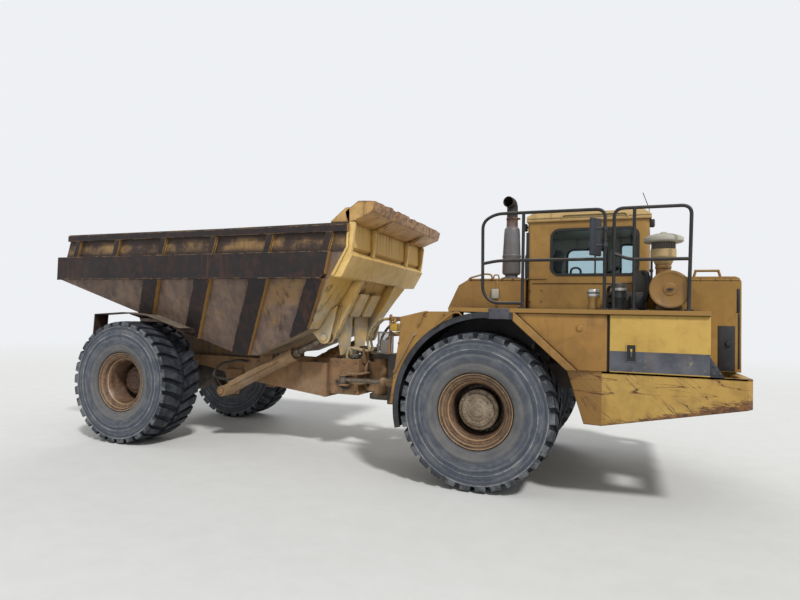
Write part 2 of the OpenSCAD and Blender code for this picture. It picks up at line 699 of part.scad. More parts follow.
module rear_frame() {
  color(yellow) {
    difference() {
      box(px(head_x1), px(head_x0), -420, 420, 840, 1385);
      box(px(head_x1 + 60), px(head_x0 - 60), -360, 360, 800, 1325);
      pin_x(px(head_x1 - 1), px(head_x0 + 1), 0, osc_z, osc_r + fit);
      pin_y(px(-330), -421, 421, 1080, 62);
    }
    both() {
      side_cut([
        [px(head_x1), 790], [px(head_x1), frame_top - 20], [rx(1200), frame_top],
        [rx(-hinge_back), frame_top], [rx(-hinge_back - 150), frame_top - 60],
        [rx(-hinge_back - 150), frame_foot], [rx(600), frame_foot], [rx(1660), 945]
      ], frame_y0, frame_y1);
      side_cut([
        [rx(-hinge_back - 140), frame_top - 60], [rx(-hinge_back + 160), frame_top - 1],
        [rx(-hinge_back + 90), hinge_z + 60], [rx(-hinge_back + 40), hinge_z + 105],
        [rx(-hinge_back - 40), hinge_z + 105], [rx(-hinge_back - 90), hinge_z + 60]
      ], frame_y0, frame_y1);
      pin_y(rx(-hinge_back), 270, frame_y0 + 1, hinge_z, 50);
      box(rx(1720), rx(1960), frame_y0, frame_y1, frame_top - 10, tub_low - fit);
      // Lower brackets and pins of the hoist cylinders
      pin_y(rx(hoist_x0), frame_y1 - 1, hoist_y - 90, hoist_z0, 75);
      pin_y(rx(hoist_x0), frame_y1 - 1, hoist_y + 100, hoist_z0, 45);
      side_cut([
        [rx(hoist_x0 - 170), hoist_z0 + 330], [rx(hoist_x0 + 170), hoist_z0 + 330],
        [rx(hoist_x0 + 80), hoist_z0 - 75], [rx(hoist_x0 - 80), hoist_z0 - 75]
      ], frame_y1 - 1, frame_y1 + 60);
    }
    box(px(head_x1 - 60), px(head_x1), -frame_y1, frame_y1, 790, frame_top - 20);
    for (x = [2200, 420, -440]) box(rx(x), rx(x + 90), -frame_y0, frame_y0, frame_foot, frame_foot + 85);
  }
}
module rear_axle() {
  color(black) {
    axle(rx(0));
    both() box(rx(-130), rx(130), frame_y0, frame_y1, tyre_r + 100, frame_foot - fit);
  }
}

// Dump body
function floor_at(x) = tub_low + (1664 - x) * (rim_z - tub_low) / (1664 - tail);
function rib_y(z) = floor_y + 70 + (z - tub_low) * (tub_y + rail_out - floor_y - 70) / (rim_z - tub_low);
module tub_side(grow) {
  // Side outline of the body; a negative grow gives its hollow, open above and behind
  t = -grow;
  up = grow < 0 ? 400 : 0;
  polygon([
    [rx(tail + 210 - up), tub_z1 + up], [rx(3764 - t), wall_z + up], [rx(3764 - t), 3000],
    [rx(3724 - t), 2960], [rx(3024 - t * 1.15), 1850 + t * 0.7], [rx(1994 - t * 0.2), tub_low + t],
    [rx(1664), tub_low + t], [rx(tail - up * 2), rim_z + t + up * 0.66]
  ]);
}
module tub_cross(grow) {
  // Section of the body across, or of its hollow
  t = -grow;
  slope = (tub_y - floor_y) / (rim_z - tub_low);
  low_y = floor_y - slope * 40 - t * 1.08;
  top = tub_z1 + 60 + t * 30;
  polygon([
    [tub_y - t, top], [tub_y - t, rim_z], [low_y, tub_low - 40], [-low_y, tub_low - 40],
    [t - tub_y, rim_z], [t - tub_y, top]
  ]);
}
module tub_solid(grow) {
  intersection() {
    translate([0, tub_y + 1, 0]) rotate([90, 0, 0]) linear_extrude(2 * tub_y + 2) tub_side(grow);
    translate([rx(tail) - 1000, 0, 0]) rotate([90, 0, 90]) linear_extrude(8000) tub_cross(grow);
  }
}
module tub() {
  // The bowl, and the two beams under it that hang on the hinge
  arm = -hinge_back;
  color(rust) {
    difference() {
      tub_solid(0);
      tub_solid(-tub_t);
    }
    both() difference() {
      side_cut([
        [rx(1900), tub_low + 2], [rx(1900), 1300], [rx(arm + 60), 1300], [rx(arm - 60), 1318],
        [rx(arm - 100), 1380], [rx(arm - 500), floor_at(arm - 500) - 60],
        [rx(arm - 500), floor_at(arm - 500) + 2], [rx(1664), tub_low + 2]
      ], beam_y, beam_y + 100);
      pin_y(rx(arm), beam_y - 1, beam_y + 101, hinge_z, 50 + fit);
    }
  }
}
// Ribs: front end at the rail and width of the lower ones, middle of the upper ones
lower_ribs = [[510, 300], [1505, 290], [2520, 310], [3420, 260]];
upper_ribs = [-1330, -460, 490, 1460, 2460, 3420];
rib_lean = 0.56;
module tub_rails() {
  y0 = tub_y + fit;
  color(rust) both() {
    side_cut([
      [rx(tail), rim_z], [rx(3360), rim_z], [rx(3440), rim_z + 60], [rx(3500), rail_z],
      [rx(tail), rail_z]
    ], y0, tub_y + rail_out);
    box(rx(tail + 200), rx(3764), y0, tub_y + 60, tub_z1 - 95, tub_z1);
    for (x = upper_ribs) side_cut([
      [rx(x - 50), rail_z - 1], [rx(x + 50), rail_z - 1], [rx(x + 120), tub_z1 - 94],
      [rx(x + 20), tub_z1 - 94]
    ], y0, tub_y + 50);
    for (rib = lower_ribs) intersection() {
      side_cut([
        [rx(rib[0]), rim_z + 1], [rx(rib[0] - rib[1]), rim_z + 1],
        [rx(rib[0] - rib[1] - rib_lean * 1200), rim_z - 1200],
        [rx(rib[0] - rib_lean * 1200), rim_z - 1200]
      ], 700, tub_y + rail_out);
      cross_cut([
        [y0, rim_z], [y0, rim_z + 1], [tub_y + rail_out, rim_z + 1], [floor_y + 70, tub_low],
        [floor_y + 0.4, tub_low]
      ], rx(tail), rx(3800));
      translate([0, tub_y + 200, 0]) rotate([90, 0, 0]) linear_extrude(1000) tub_side(0);
    }
  }
}
module tub_front() {
  // Beam across the front wall, its ribs, the rest plates and the ears of the hoist cylinders
  color(yellow) difference() {
    union() {
      side_cut([[rx(3700), 2975], [rx(3825), 2872], [rx(3664), 2581], [rx(3470), 2581]],
        -tub_y, tub_y);
      both() {
        for (y = [660, tub_y - 50]) side_cut([
          [rx(3750), 2980], [rx(3750), wall_z - 1], [rx(3840), wall_z - 1], [rx(3850), 3300],
          [rx(3800), 2860], [rx(3720), 2900]
        ], y, y + 50);
        side_cut([
          [rx(3440), 2582], [rx(3624), 2582], [rx(3190), 1700], [rx(3080), 1660], [rx(2900), 1800],
          [rx(3010), 1880]
        ], 600, 694);
        for (y = [hoist_y - 86, hoist_y + 66]) side_cut([
          [rx(2900), 1800], [rx(3050), 1640], [rx(3104), 1625], [rx(3165), 1640],
          [rx(3205), 1710], [rx(3320), 2200], [rx(3150), 2100]
        ], y, y + 20);
        for (y = [hoist_y - 110, hoist_y + 85]) pin_y(rx(hoist_x1), y, y + 25, hoist_z1, 55);
        cross_cut([[60, 2070], [560, 2070], [560, 1900], [400, 1440], [120, 1440], [60, 1900]],
          rx(3140), rx(3170));
        side_cut([[rx(3180), 2300], [rx(3470), 2400], [rx(3390), 2240], [rx(3290), 2040]], 60, 380);
      }
    }
    translate([0, tub_y + 5, 0]) rotate([90, 0, 0]) linear_extrude(2 * tub_y + 10) tub_side(fit);
  }
}
module rear_mudguards() {
  // A bent sheet over each rear tyre, on brackets from the ribs
  color(black) both() {
    side_cut([
      [rx(-770), 1660], [rx(-750), 1990], [rx(-140), 2030], [rx(350), 1990], [rx(1000), 1810],
      [rx(1000), 1795], [rx(350), 1975], [rx(-140), 2015], [rx(-735), 1975], [rx(-755), 1660]
    ], rib_y(2030) + 1, 1560);
    for (b = [[-60, 120, 2010, 1935], [890, 980, 1806, 1720]])
      cross_cut([
        [rib_y(b[2]) + 0.4, b[2]], [rib_y(b[3]) + 0.4, b[3]], [1500, b[2] - 12], [1500, b[2]]
      ], rx(b[0]), rx(b[1]));
  }
}
module canopy() {
  foot = wall_z + fit;
  color(yellow) {
    side_cut([
      [rx(3744), foot], [rx(3700), 3470], [rx(3900), 3620], [rx(4170), 3605], [rx(4125), 3460],
      [rx(3840), foot + 14], [rx(3790), foot]
    ], -tub_y, tub_y);
    both() side_cut([
      [rx(3480), tub_z1 + 60 + fit], [rx(3700), 3530], [rx(3760), 3530], [rx(3760), foot],
      [rx(3480), foot]
    ], tub_y - tub_t, tub_y);
  }
}

// Cylinders
module along_hoist(side) {
  lean = atan2(hoist_z1 - hoist_z0, hoist_x1 - hoist_x0);
  translate([rx(hoist_x0), side * hoist_y, hoist_z0]) rotate([0, 90 - lean, 0]) children();
}
module hoist_barrels() {
  for (side = [-1, 1]) color(black) along_hoist(side) difference() {
    union() {
      translate([0, 0, 60]) cylinder(r = hoist_r, h = 1390);
      rotate([90, 0, 0]) cylinder(r = 85, h = 150, center = true);
    }
    translate([0, 0, 130]) cylinder(r = stage_r + fit, h = 1330);
    rotate([90, 0, 0]) cylinder(r = 45 + fit, h = 152, center = true);
  }
}
module hoist_stages() {
  for (side = [-1, 1]) color(steel) along_hoist(side) translate([0, 0, 140]) difference() {
    cylinder(r = stage_r, h = 1420);
    translate([0, 0, 20]) cylinder(r = hoist_rod_r + fit, h = 1401);
  }
}
module hoist_rods() {
  for (side = [-1, 1]) color(steel) along_hoist(side) {
    translate([0, 0, 170]) cylinder(r = hoist_rod_r, h = hoist_len - 230);
    translate([0, 0, hoist_len]) rotate([90, 0, 0]) cylinder(r = 75, h = 120, center = true);
  }
}
module along_steer(side) {
  turn = atan2(side * (rod_pin[1] - steer_y0), rod_pin[0] - steer_x0);
  translate([px(steer_x0), side * steer_y0, steer_z]) rotate([0, 90, turn]) children();
}
module steer_barrel(side) {
  color(black) along_steer(side) difference() {
    union() {
      translate([0, 0, 50]) cylinder(r = steer_r, h = 1185);
      rotate([0, 90, 0]) cylinder(r = 62, h = 2 * eye_half, center = true);
    }
    translate([0, 0, 110]) cylinder(r = steer_rod_r + fit, h = 1200);
    rotate([0, 90, 0]) cylinder(r = 30 + fit, h = 2 * eye_half + 2, center = true);
  }
}
module steer_rod(side) {
  color(steel) along_steer(side) {
    translate([0, 0, 640]) cylinder(r = steer_rod_r, h = steer_len - 690);
    translate([0, 0, steer_len]) rotate([0, 90, 0])
      cylinder(r = 62, h = 2 * eye_half - 8, center = true);
  }
}

front_frame();
front_axle();
engine();
bumper();
hood();
grille();
side_boxes();
fenders();
front_mudguards();
deck();
rear_cover();
cab_shell();
cab_door();
cab_glass();
door_glass();
cab_inside();
exhaust();
air_cleaner();
handrails();
mirrors();
lamps();
ladder();
hitch();
rear_frame();
rear_axle();
rear_mudguards();
tub();
tub_rails();
tub_front();
canopy();
hoist_barrels();
hoist_stages();
hoist_rods();
steer_barrel(-1);  // steer_barrel_right
steer_rod(-1);  // steer_rod_right
steer_barrel(1);  // steer_barrel_left
steer_rod(1);  // steer_rod_left
tyre(fx(0), -1);  // tyre_front_right
rim(fx(0), -1, 170);  // rim_front_right
tyre(fx(0), 1);  // tyre_front_left
rim(fx(0), 1, 170);  // rim_front_left
tyre(rx(0), -1);  // tyre_rear_right
rim(rx(0), -1, 20);  // rim_rear_right
tyre(rx(0), 1);  // tyre_rear_left
rim(rx(0), 1, 20);  // rim_rear_left
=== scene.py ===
import math

import bmesh
import bpy
from mathutils import Matrix, Vector, noise


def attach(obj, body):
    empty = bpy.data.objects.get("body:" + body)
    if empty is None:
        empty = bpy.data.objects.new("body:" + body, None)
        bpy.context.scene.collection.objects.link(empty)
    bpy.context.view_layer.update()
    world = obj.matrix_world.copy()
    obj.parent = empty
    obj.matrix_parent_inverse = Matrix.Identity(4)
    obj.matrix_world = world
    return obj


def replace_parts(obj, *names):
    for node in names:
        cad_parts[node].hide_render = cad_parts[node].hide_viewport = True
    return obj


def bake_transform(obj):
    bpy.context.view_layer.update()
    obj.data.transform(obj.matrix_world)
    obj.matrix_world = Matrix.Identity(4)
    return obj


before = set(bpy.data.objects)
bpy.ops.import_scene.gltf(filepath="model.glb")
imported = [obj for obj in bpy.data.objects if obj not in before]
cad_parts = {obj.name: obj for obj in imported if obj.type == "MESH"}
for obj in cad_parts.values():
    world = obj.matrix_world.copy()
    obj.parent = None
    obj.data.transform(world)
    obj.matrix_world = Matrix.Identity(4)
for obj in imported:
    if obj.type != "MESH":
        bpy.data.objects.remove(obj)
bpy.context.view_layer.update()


# Metres along the machine, from millimetres ahead of the front axle, the rear axle or the steering pivot

def fx(mm):
    return 2.227 + mm / 1000


def rx(mm):
    return -3.387 + mm / 1000


def px(mm):
    return 0.277 + mm / 1000


def place_camera():
    """The photograph's camera, as fitted to the machine."""
    spot, yaw, pitch, roll = (3.842, -8.286, 2.02), math.radians(21.5), math.radians(1.96), math.radians(1.38)
    ahead = Vector((-math.sin(yaw) * math.cos(pitch), math.cos(yaw) * math.cos(pitch), math.sin(pitch)))
    level = Vector((math.cos(yaw), math.sin(yaw), 0))
    upright = level.cross(ahead)
    right = level * math.cos(roll) + upright * math.sin(roll)
    up = -level * math.sin(roll) + upright * math.cos(roll)
    data = bpy.data.cameras.new("roadside_camera")
    data.lens = 25.4
    data.sensor_width = 36
    data.clip_end = 400
    camera = bpy.data.objects.new("roadside_camera", data)
    bpy.context.collection.objects.link(camera)
    turn = Matrix((right, up, -ahead)).transposed().to_4x4()
    camera.matrix_world = Matrix.Translation(spot) @ turn
    bpy.context.scene.camera = camera


place_camera()


# Shader wiring

def linear(colour):
    """A colour as it looks, 0 to 255 a channel, in Blender's linear values."""
    values = [value / 255 for value in colour]
    return (*(v / 12.92 if v <= 0.04045 else ((v + 0.055) / 1.055) ** 2.4 for v in values), 1.0)


def label_of(key):
    return key.replace("_", " ").capitalize()


class Wiring:
    """Short ways to add and join shader nodes in one tree."""

    def __init__(self, tree):
        self.tree = tree

    def feed(self, socket, value):
        """Joins a socket or sets its value; three numbers for a colour are as it looks, 0 to 255."""
        if isinstance(value, bpy.types.NodeSocket):
            self.tree.links.new(value, socket)
        else:
            as_seen = socket.type == "RGBA" and len(value) == 3
            socket.default_value = linear(value) if as_seen else value

    def node(self, kind, inputs=None, **settings):
        made = self.tree.nodes.new(kind)
        for key, value in settings.items():
            setattr(made, key, value)
        for key, value in (inputs or {}).items():
            self.feed(made.inputs[key], value)
        return made

    def group(self, tree, **inputs):
        made = self.node("ShaderNodeGroup", node_tree=tree)
        for key, value in inputs.items():
            self.feed(made.inputs[label_of(key)], value)
        return made.outputs

    def math(self, operation, a, b=0.0, clamp=False):
        return self.node("ShaderNodeMath", {0: a, 1: b}, operation=operation, use_clamp=clamp).outputs[0]

    def times(self, a, b, clamp=False):
        return self.math("MULTIPLY", a, b, clamp)

    def plus(self, a, b, clamp=False):
        return self.math("ADD", a, b, clamp)

    def minus(self, a, b):
        return self.math("SUBTRACT", a, b)

    def larger(self, a, b, clamp=False):
        return self.math("MAXIMUM", a, b, clamp)

    def off(self, a, b=0.0):
        """How far a value is from another."""
        return self.math("ABSOLUTE", self.minus(a, b))

    def vector_math(self, operation, a, b=(0, 0, 0)):
        return self.node("ShaderNodeVectorMath", {0: a, 1: b}, operation=operation).outputs

    def ramp(self, value, low, high, to_low=0.0, to_high=1.0):
        return self.node("ShaderNodeMapRange", {0: value, 1: low, 2: high, 3: to_low, 4: to_high},
                         interpolation_type="SMOOTHSTEP").outputs[0]

    def mix(self, mask, under, over, amount=1.0):
        """One colour laid on another by a mask and an amount."""
        strength = mask if amount == 1.0 else self.times(mask, amount)
        return self.node("ShaderNodeMix", {0: strength, 6: under, 7: over}, data_type="RGBA").outputs[2]

    def noise(self, where, scale, detail=4.0, roughness=0.55, distortion=0.0):
        return self.node("ShaderNodeTexNoise", {"Vector": where, "Scale": scale, "Detail": detail,
                         "Roughness": roughness, "Distortion": distortion}).outputs[0]

    def clouds(self, low, high, scale, detail=4.0, roughness=0.55, stretch=(1, 1, 1)):
        """Soft patches of noise between two levels."""
        return self.group(cloud_tree, low=low, high=high, scale=scale, detail=detail, roughness=roughness,
                          stretch=stretch)["Mask"]

    def grain(self, scale, detail, roughness):
        """Plain noise from the same group."""
        return self.group(cloud_tree, scale=scale, detail=detail, roughness=roughness)["Noise"]

    def mottled(self, dark, light, *levels):
        """Two colours mixed by clouds, whose values follow."""
        return self.mix(self.clouds(*levels), dark, light)

    def stretched(self, where, scale):
        return self.node("ShaderNodeMapping", {"Vector": where, "Scale": scale}).outputs[0]

    def combined(self, *values):
        return self.node("ShaderNodeCombineXYZ", dict(enumerate(values))).outputs[0]

    def attribute(self, name):
        return self.node("ShaderNodeAttribute", attribute_name=name).outputs["Fac"]

    def here(self):
        return self.node("ShaderNodeTexCoord").outputs["Object"]

    def along(self, where):
        return self.node("ShaderNodeSeparateXYZ", {0: where}).outputs

    def height(self):
        return self.along(self.here())[2]

    def facing(self):
        """The surface's direction in the piece's own frame, so it moves with the piece."""
        normal = self.node("ShaderNodeNewGeometry").outputs["Normal"]
        return self.node("ShaderNodeVectorTransform", {0: normal}, vector_type="NORMAL",
                         convert_from="WORLD", convert_to="OBJECT").outputs[0]

    def outward_of(self, middle):
        """Above zero where a surface looks away from the middle, below zero where it looks towards it."""
        offset = self.vector_math("SUBTRACT", self.here(), middle)[0]
        return self.vector_math("DOT_PRODUCT", offset, self.facing())[1]

    def bump(self, into, strength, distance, height, normal=None):
        made = self.node("ShaderNodeBump", {"Strength": strength, "Distance": distance, "Height": height})
        if normal:
            self.feed(made.inputs["Normal"], normal)
        self.feed(into["Normal"], made.outputs[0])


# Effects that several finishes share, each a node group

def effect(name, build, **inputs):
    """A shader node group; build takes its wiring and inputs and gives its outputs by name."""
    tree = bpy.data.node_groups.new(name, "ShaderNodeTree")
    for key, value in inputs.items():
        kind = "NodeSocketVector" if isinstance(value, tuple) else "NodeSocketFloat"
        tree.interface.new_socket(label_of(key), in_out="INPUT", socket_type=kind).default_value = value
    w = Wiring(tree)
    outputs = build(w, w.node("NodeGroupInput").outputs)
    for label in outputs:
        kind = {"Normal": "Vector", "Colour": "Color"}.get(label, "Float")
        tree.interface.new_socket(label, in_out="OUTPUT", socket_type="NodeSocket" + kind)
    result = w.node("NodeGroupOutput").inputs
    for label, value in outputs.items():
        w.feed(result[label], value)
    return tree


def soft_noise(w, given):
    """Noise, and the same as soft patches between two levels."""
    place = w.stretched(w.here(), given["Stretch"])
    value = w.noise(place, given["Scale"], given["Detail"], given["Roughness"])
    return {"Mask": w.ramp(value, given["Low"], given["High"]), "Noise": value}


def weather_patches(w, given):
    """Broad patches, moved by the shift so that each finish has its own."""
    place = w.vector_math("ADD", w.here(), given["Shift"])[0]
    value = w.noise(place, given["Scale"], 6.0, 0.6, 0.4)
    return {"Mask": w.ramp(value, given["Low"], given["High"])}


def rain_runs(w, given):
    """Narrow upright streaks, in some places more than in others."""
    fine = w.clouds(given["Low"], given["High"], given["Scale"], 3.0, 0.65, (1.0, 1.0, 0.06))
    return {"Mask": w.times(fine, w.clouds(0.42, 0.6, 0.9, 2.0))}


def worn_edge(w, given):
    """Edges rubbed bare here and there, with the rounded normal that shows them."""
    rounded = w.node("ShaderNodeBevel", {"Radius": given["Width"]}, samples=6).outputs[0]
    plain = w.node("ShaderNodeNewGeometry").outputs["Normal"]
    edge = w.ramp(w.minus(1.0, w.vector_math("DOT_PRODUCT", rounded, plain)[1]), 0.01, 0.14)
    patchy = w.clouds(given["Reach"], w.plus(given["Reach"], 0.12), 9.0, 5.0, 0.7)
    return {"Mask": w.times(edge, patchy), "Normal": rounded}


def settled_dust(w, given):
    """Dust on what looks up, and mud thrown up to the given height."""
    up = w.ramp(w.along(w.facing())[2], 0.25, 0.95)
    cloud = w.clouds(0.3, 0.7, 2.6, 7.0, 0.65)
    low = w.ramp(w.height(), given["Low mud"], w.minus(given["Low mud"], 0.9), 0.0, 0.75)
    both = w.larger(up, w.times(low, cloud))
    mask = w.times(both, w.ramp(cloud, 0.0, 1.0, 0.45, 1.0))
    return {"Mask": w.times(mask, given["Amount"], clamp=True)}


def shade_in_corners(w, given):
    """Painted shade where surfaces close in on each other, found by ambient occlusion."""
    shut = w.node("ShaderNodeAmbientOcclusion", {"Distance": given["Distance"]}, samples=6).outputs["AO"]
    return {"Mask": w.times(w.ramp(shut, 0.85, 0.25), given["Amount"], clamp=True)}


def scratch_lines(w, given):
    """Long thin scratches that slope a little."""
    place = w.node("ShaderNodeMapping", {"Vector": w.here(), "Rotation": (0.0, 0.2, 0.0),
                   "Scale": (0.35, 1.0, 5.0)}).outputs[0]
    line = w.ramp(w.off(w.noise(place, 1.6, 2.0, 0.5), 0.5), 0.012, 0.0)
    return {"Mask": w.times(line, w.clouds(given["Spread"], w.plus(given["Spread"], 0.1), 5.0, 4.0, 0.7))}


def chipped_paint(w, given):
    """Small chips, more of them in some patches."""
    patch = w.group(patches, scale=1.7, low=0.5, high=0.75, shift=given["Shift"])[0]
    limit = w.ramp(patch, 0.0, 1.0, 0.78, w.minus(0.78, w.times(given["Amount"], 0.2)))
    return {"Mask": w.ramp(w.minus(w.noise(w.here(), 26.0, 6.0, 0.75), limit), 0.0, 0.02)}


def rust_tones(w, _):
    """Dark and warm rust."""
    return {"Colour": w.mottled((58, 36, 28), (122, 70, 36), 0.35, 0.65, 18.0, 5.0, 0.7)}


def pale_rings(w, _):
    """Pale rings round a rim at its flange, lock ring and bowl edge."""
    reach, rings = w.attribute("from_axle"), 0.0
    for radius in (0.447, 0.402, 0.352):
        rings = w.larger(rings, w.ramp(w.off(reach, radius), 0.008, 0.002))
    return {"Mask": rings}


cloud_tree = effect("clouds", soft_noise, low=0.4, high=0.6, scale=5.0, detail=4.0, roughness=0.55,
                    stretch=(1.0, 1.0, 1.0))
patches = effect("weather_patches", weather_patches, scale=1.0, low=0.4, high=0.6, shift=0.0)
runs = effect("rain_runs", rain_runs, scale=9.0, low=0.5, high=0.7)
worn_edges = effect("worn_edges", worn_edge, width=0.012, reach=0.5)
dust = effect("settled_dust", settled_dust, amount=0.5, low_mud=0.9)
corner_shade = effect("corner_shade", shade_in_corners, distance=0.16, amount=0.8)
scratches = effect("scratches", scratch_lines, spread=0.5)
paint_chips = effect("paint_chips", chipped_paint, shift=0.0, amount=0.6)
rust_tone = effect("rust_tones", rust_tones)
rim_rings = effect("pale_rings", pale_rings)

# Colour of the painted shade in corners, and of dust
corner_shade_colour, dust_colour = (52, 40, 30), (178, 164, 140)


# Finishes

def new_material(name):
    """A material with one Principled shader; gives it, its wiring and the shader's inputs."""
    made = bpy.data.materials.new(name)
    made.use_nodes = True
    made.node_tree.nodes.clear()
    w = Wiring(made.node_tree)
    shader = w.node("ShaderNodeBsdfPrincipled")
    w.node("ShaderNodeOutputMaterial", {0: shader.outputs[0]})
    return made, w, shader.inputs


def weathered(name, base, aged, stain, shift, rust, dusty, shade_amount, gloss, streak, chips, low_mud=0.9,
              edge=0.012, reach=0.52, scuffed=False, extra=None):
    """Old machine paint: faded patches, rain runs, chips down to rust, painted shade in corners and dust."""
    made, w, into = new_material(name)
    edges = w.group(worn_edges, width=edge, reach=reach)
    broad = w.group(patches, scale=0.9, low=0.35, high=0.68, shift=shift)[0]
    small = w.group(patches, scale=6.5, low=0.42, high=0.72, shift=shift + 3.1)[0]
    colour = w.mix(small, w.mix(broad, base, aged), stain, 0.35)
    if extra:
        colour = extra(w, colour)
    colour = w.mix(w.group(runs, scale=11.0, low=0.5, high=0.72)[0], colour, stain, streak)
    # Painted shade where surfaces close in on each other
    colour = w.mix(w.group(corner_shade, distance=0.14, amount=shade_amount)[0], colour, corner_shade_colour)
    chip = w.group(paint_chips, shift=shift + 7.7, amount=chips)[0]
    rusty = w.larger(w.times(edges["Mask"], rust), chip, clamp=True)
    if scuffed:
        rusty = w.larger(rusty, w.group(scratches, spread=0.42)[0], clamp=True)
    colour = w.mix(rusty, colour, w.group(rust_tone)[0])
    powder = w.group(dust, amount=dusty, low_mud=low_mud)[0]
    w.feed(into["Base Color"], w.mix(powder, colour, dust_colour))
    rough = w.plus(gloss, w.times(w.larger(rusty, powder), 0.35), clamp=True)
    w.feed(into["Roughness"], w.plus(rough, w.times(broad, 0.12), clamp=True))
    w.bump(into, 0.25, 0.004, w.minus(w.times(w.grain(42.0, 4.0, 0.6), 0.4), rusty), edges["Normal"])
    return made


def tan_line(w, colour):
    """Tan along the dark rails' edges, rubbed bare and also a painted highlight, and painted sunlight on
    flanks that face forward.
    """
    # Painted sunlight on flanks that face forward
    colour = w.mix(w.ramp(w.along(w.facing())[0], 0.55, 0.75), colour, (164, 122, 62))
    # Tan along the edges: rubbed bare, and a painted highlight
    return w.mix(w.group(worn_edges, width=0.02, reach=0.44)["Mask"], colour, (176, 138, 92), 0.8)


def turned_in_shade_and_wear(w, colour):
    """Darker paint on the bumper's turned-in rear as painted shade, rubbed rust along its lower edge, and
    gouges.
    """
    x, y, z = w.along(w.here())
    # Painted shade on the turned-in rear
    colour = w.mix(w.ramp(x, fx(1418), fx(1412)), colour, (128, 90, 42), 0.75)
    foot = w.plus(w.times(w.minus(x, fx(1400)), 0.1986), 0.9)
    above = w.minus(z, w.larger(foot, 0.9))
    forward = w.ramp(x, fx(1500), fx(2800), 0.26, 0.42)
    ragged = w.times(w.noise(w.stretched(w.here(), (1.0, 1.0, 3.0)), 4.5, 8.0, 0.8), forward)
    rubbed = w.mottled((66, 42, 30), (128, 84, 44), 0.35, 0.62, 22.0, 5.0, 0.7)
    colour = w.mix(w.ramp(w.minus(above, ragged), -0.09, -0.14), colour, rubbed)
    slope, rise = w.plus(x, w.times(z, 1.1)), w.minus(w.times(x, 0.62), z)
    wander = w.noise(w.combined(w.times(slope, 7.0), w.times(rise, 0.9), y), 1.0, 3.0, 0.5)
    gouge = w.times(w.ramp(w.off(wander, 0.5), 0.011, 0.004), w.clouds(0.42, 0.56, 2.1, 3.0))
    return w.mix(gouge, colour, (74, 50, 36), 0.8)


def stripe_band(w, colour):
    """Dark band along the foot of the tool boxes' outer sides."""
    _, y, z = w.along(w.here())
    band = w.times(w.ramp(z, 1.508, 1.512), w.ramp(z, 1.733, 1.729))
    outer = w.times(w.ramp(w.off(y), 1.655, 1.657), band)
    worn = w.ramp(w.noise(w.here(), 16.0, 6.0, 0.75), 0.62, 0.7, 1.0, 0.25)
    dull = w.mottled((66, 68, 76), (96, 99, 107), 0.35, 0.7, 4.0, 5.0, 0.6)
    return w.mix(w.times(outer, worn), colour, dull)


def rusted_lip(w, colour):
    """Rust and bare steel where falling rock has hit the top and the front edge of the canopy."""
    x, _, z = w.along(w.here())
    high = w.ramp(w.plus(z, w.times(w.noise(w.here(), 6.0, 6.0, 0.7), 0.14)), 3.63, 3.68)
    front = w.ramp(w.plus(x, w.times(w.noise(w.here(), 9.0, 6.0, 0.7), 0.1)), rx(4130), rx(4175))
    bare = w.mottled((104, 70, 52), (206, 160, 110), 0.38, 0.62, 14.0, 6.0, 0.7)
    return w.mix(w.larger(high, front), colour, bare, 0.85)


def deck_edges(w, colour):
    """The deck's upright edges are painted like the fenders; its top is dark grit."""
    return w.mix(w.ramp(w.off(w.along(w.facing())[2]), 0.6, 0.4), colour, (152, 114, 56))


def body_regions(w, colour):
    """Front wall still yellow, polished rust inside the load space, upper sides dark with stain and with
    painted shade by the rails.
    """
    x, _, z = w.along(w.here())
    wander = w.times(w.minus(w.noise(w.here(), 1.4, 5.0, 0.65), 0.5), 0.5)
    colour = w.mix(w.clouds(0.42, 0.62, 1.0, 5.0, 0.7, (7.0, 7.0, 0.7)), colour, (84, 73, 72), 0.6)
    colour = w.mix(w.clouds(0.52, 0.64, 0.8, 5.0, 0.7), colour, (162, 124, 70), 0.6)
    near_front = w.ramp(w.plus(x, w.plus(w.times(z, -0.45), wander)), rx(2150), rx(2350))
    colour = w.mix(w.times(near_front, w.ramp(z, 2.56, 2.54)), colour, (176, 156, 128), 0.8)
    # Upper sides darker towards the rails above and below: stain, with painted shade from the rails
    centre = w.ramp(w.off(w.plus(z, w.times(wander, 0.3)), 3.06), 0.12, 0.03)
    upper = w.mix(w.times(centre, w.clouds(0.42, 0.62, 1.9, 6.0, 0.65)), (58, 44, 39), (150, 118, 76))
    colour = w.mix(w.ramp(z, 2.91, 2.93), colour, upper)
    dusty = w.times(w.ramp(z, 2.5, 2.0), w.clouds(0.3, 0.6, 3.0, 5.0, 0.65))
    wall = w.mix(dusty, (228, 188, 108), (222, 204, 170))
    colour = w.mix(w.ramp(w.along(w.facing())[0], 0.35, 0.5), colour, wall)
    bed = w.mottled((84, 62, 50), (142, 122, 104), 0.38, 0.62, 2.0, 8.0, 0.7, (0.5, 2.0, 2.0))
    return w.mix(w.ramp(w.outward_of((rx(1500), 0, 2.9)), 0.02, -0.05), colour, bed)


def low_cream(w, colour):
    """Pale dust low on the front wall."""
    low = w.times(w.ramp(w.height(), 2.35, 1.9), w.clouds(0.35, 0.6, 3.5, 6.0, 0.7))
    return w.mix(low, colour, (190, 176, 150))


def pale_roof(w, colour):
    """Sun-bleached paint on the cab's roof, its edge included, and pale lining inside."""
    colour = w.mix(w.ramp(w.height(), 3.335, 3.35), colour, (222, 190, 132), 0.75)
    return w.mix(w.ramp(w.outward_of((fx(1185), 0, 2.9)), -0.2, -0.3), colour, (192, 188, 172))


def faded_stack(w, colour):
    """The intake stack is paler than the drum below it."""
    return w.mix(w.ramp(w.height(), 2.68, 2.76), colour, (206, 180, 132), 0.7)


def heat_tint(w, colour):
    """Brown heat stain on the upper end of the muffler."""
    return w.mix(w.ramp(w.height(), 3.22, 3.4), colour,
                 w.mottled((62, 40, 30), (124, 84, 62), 0.4, 0.62, 12.0, 6.0, 0.7))


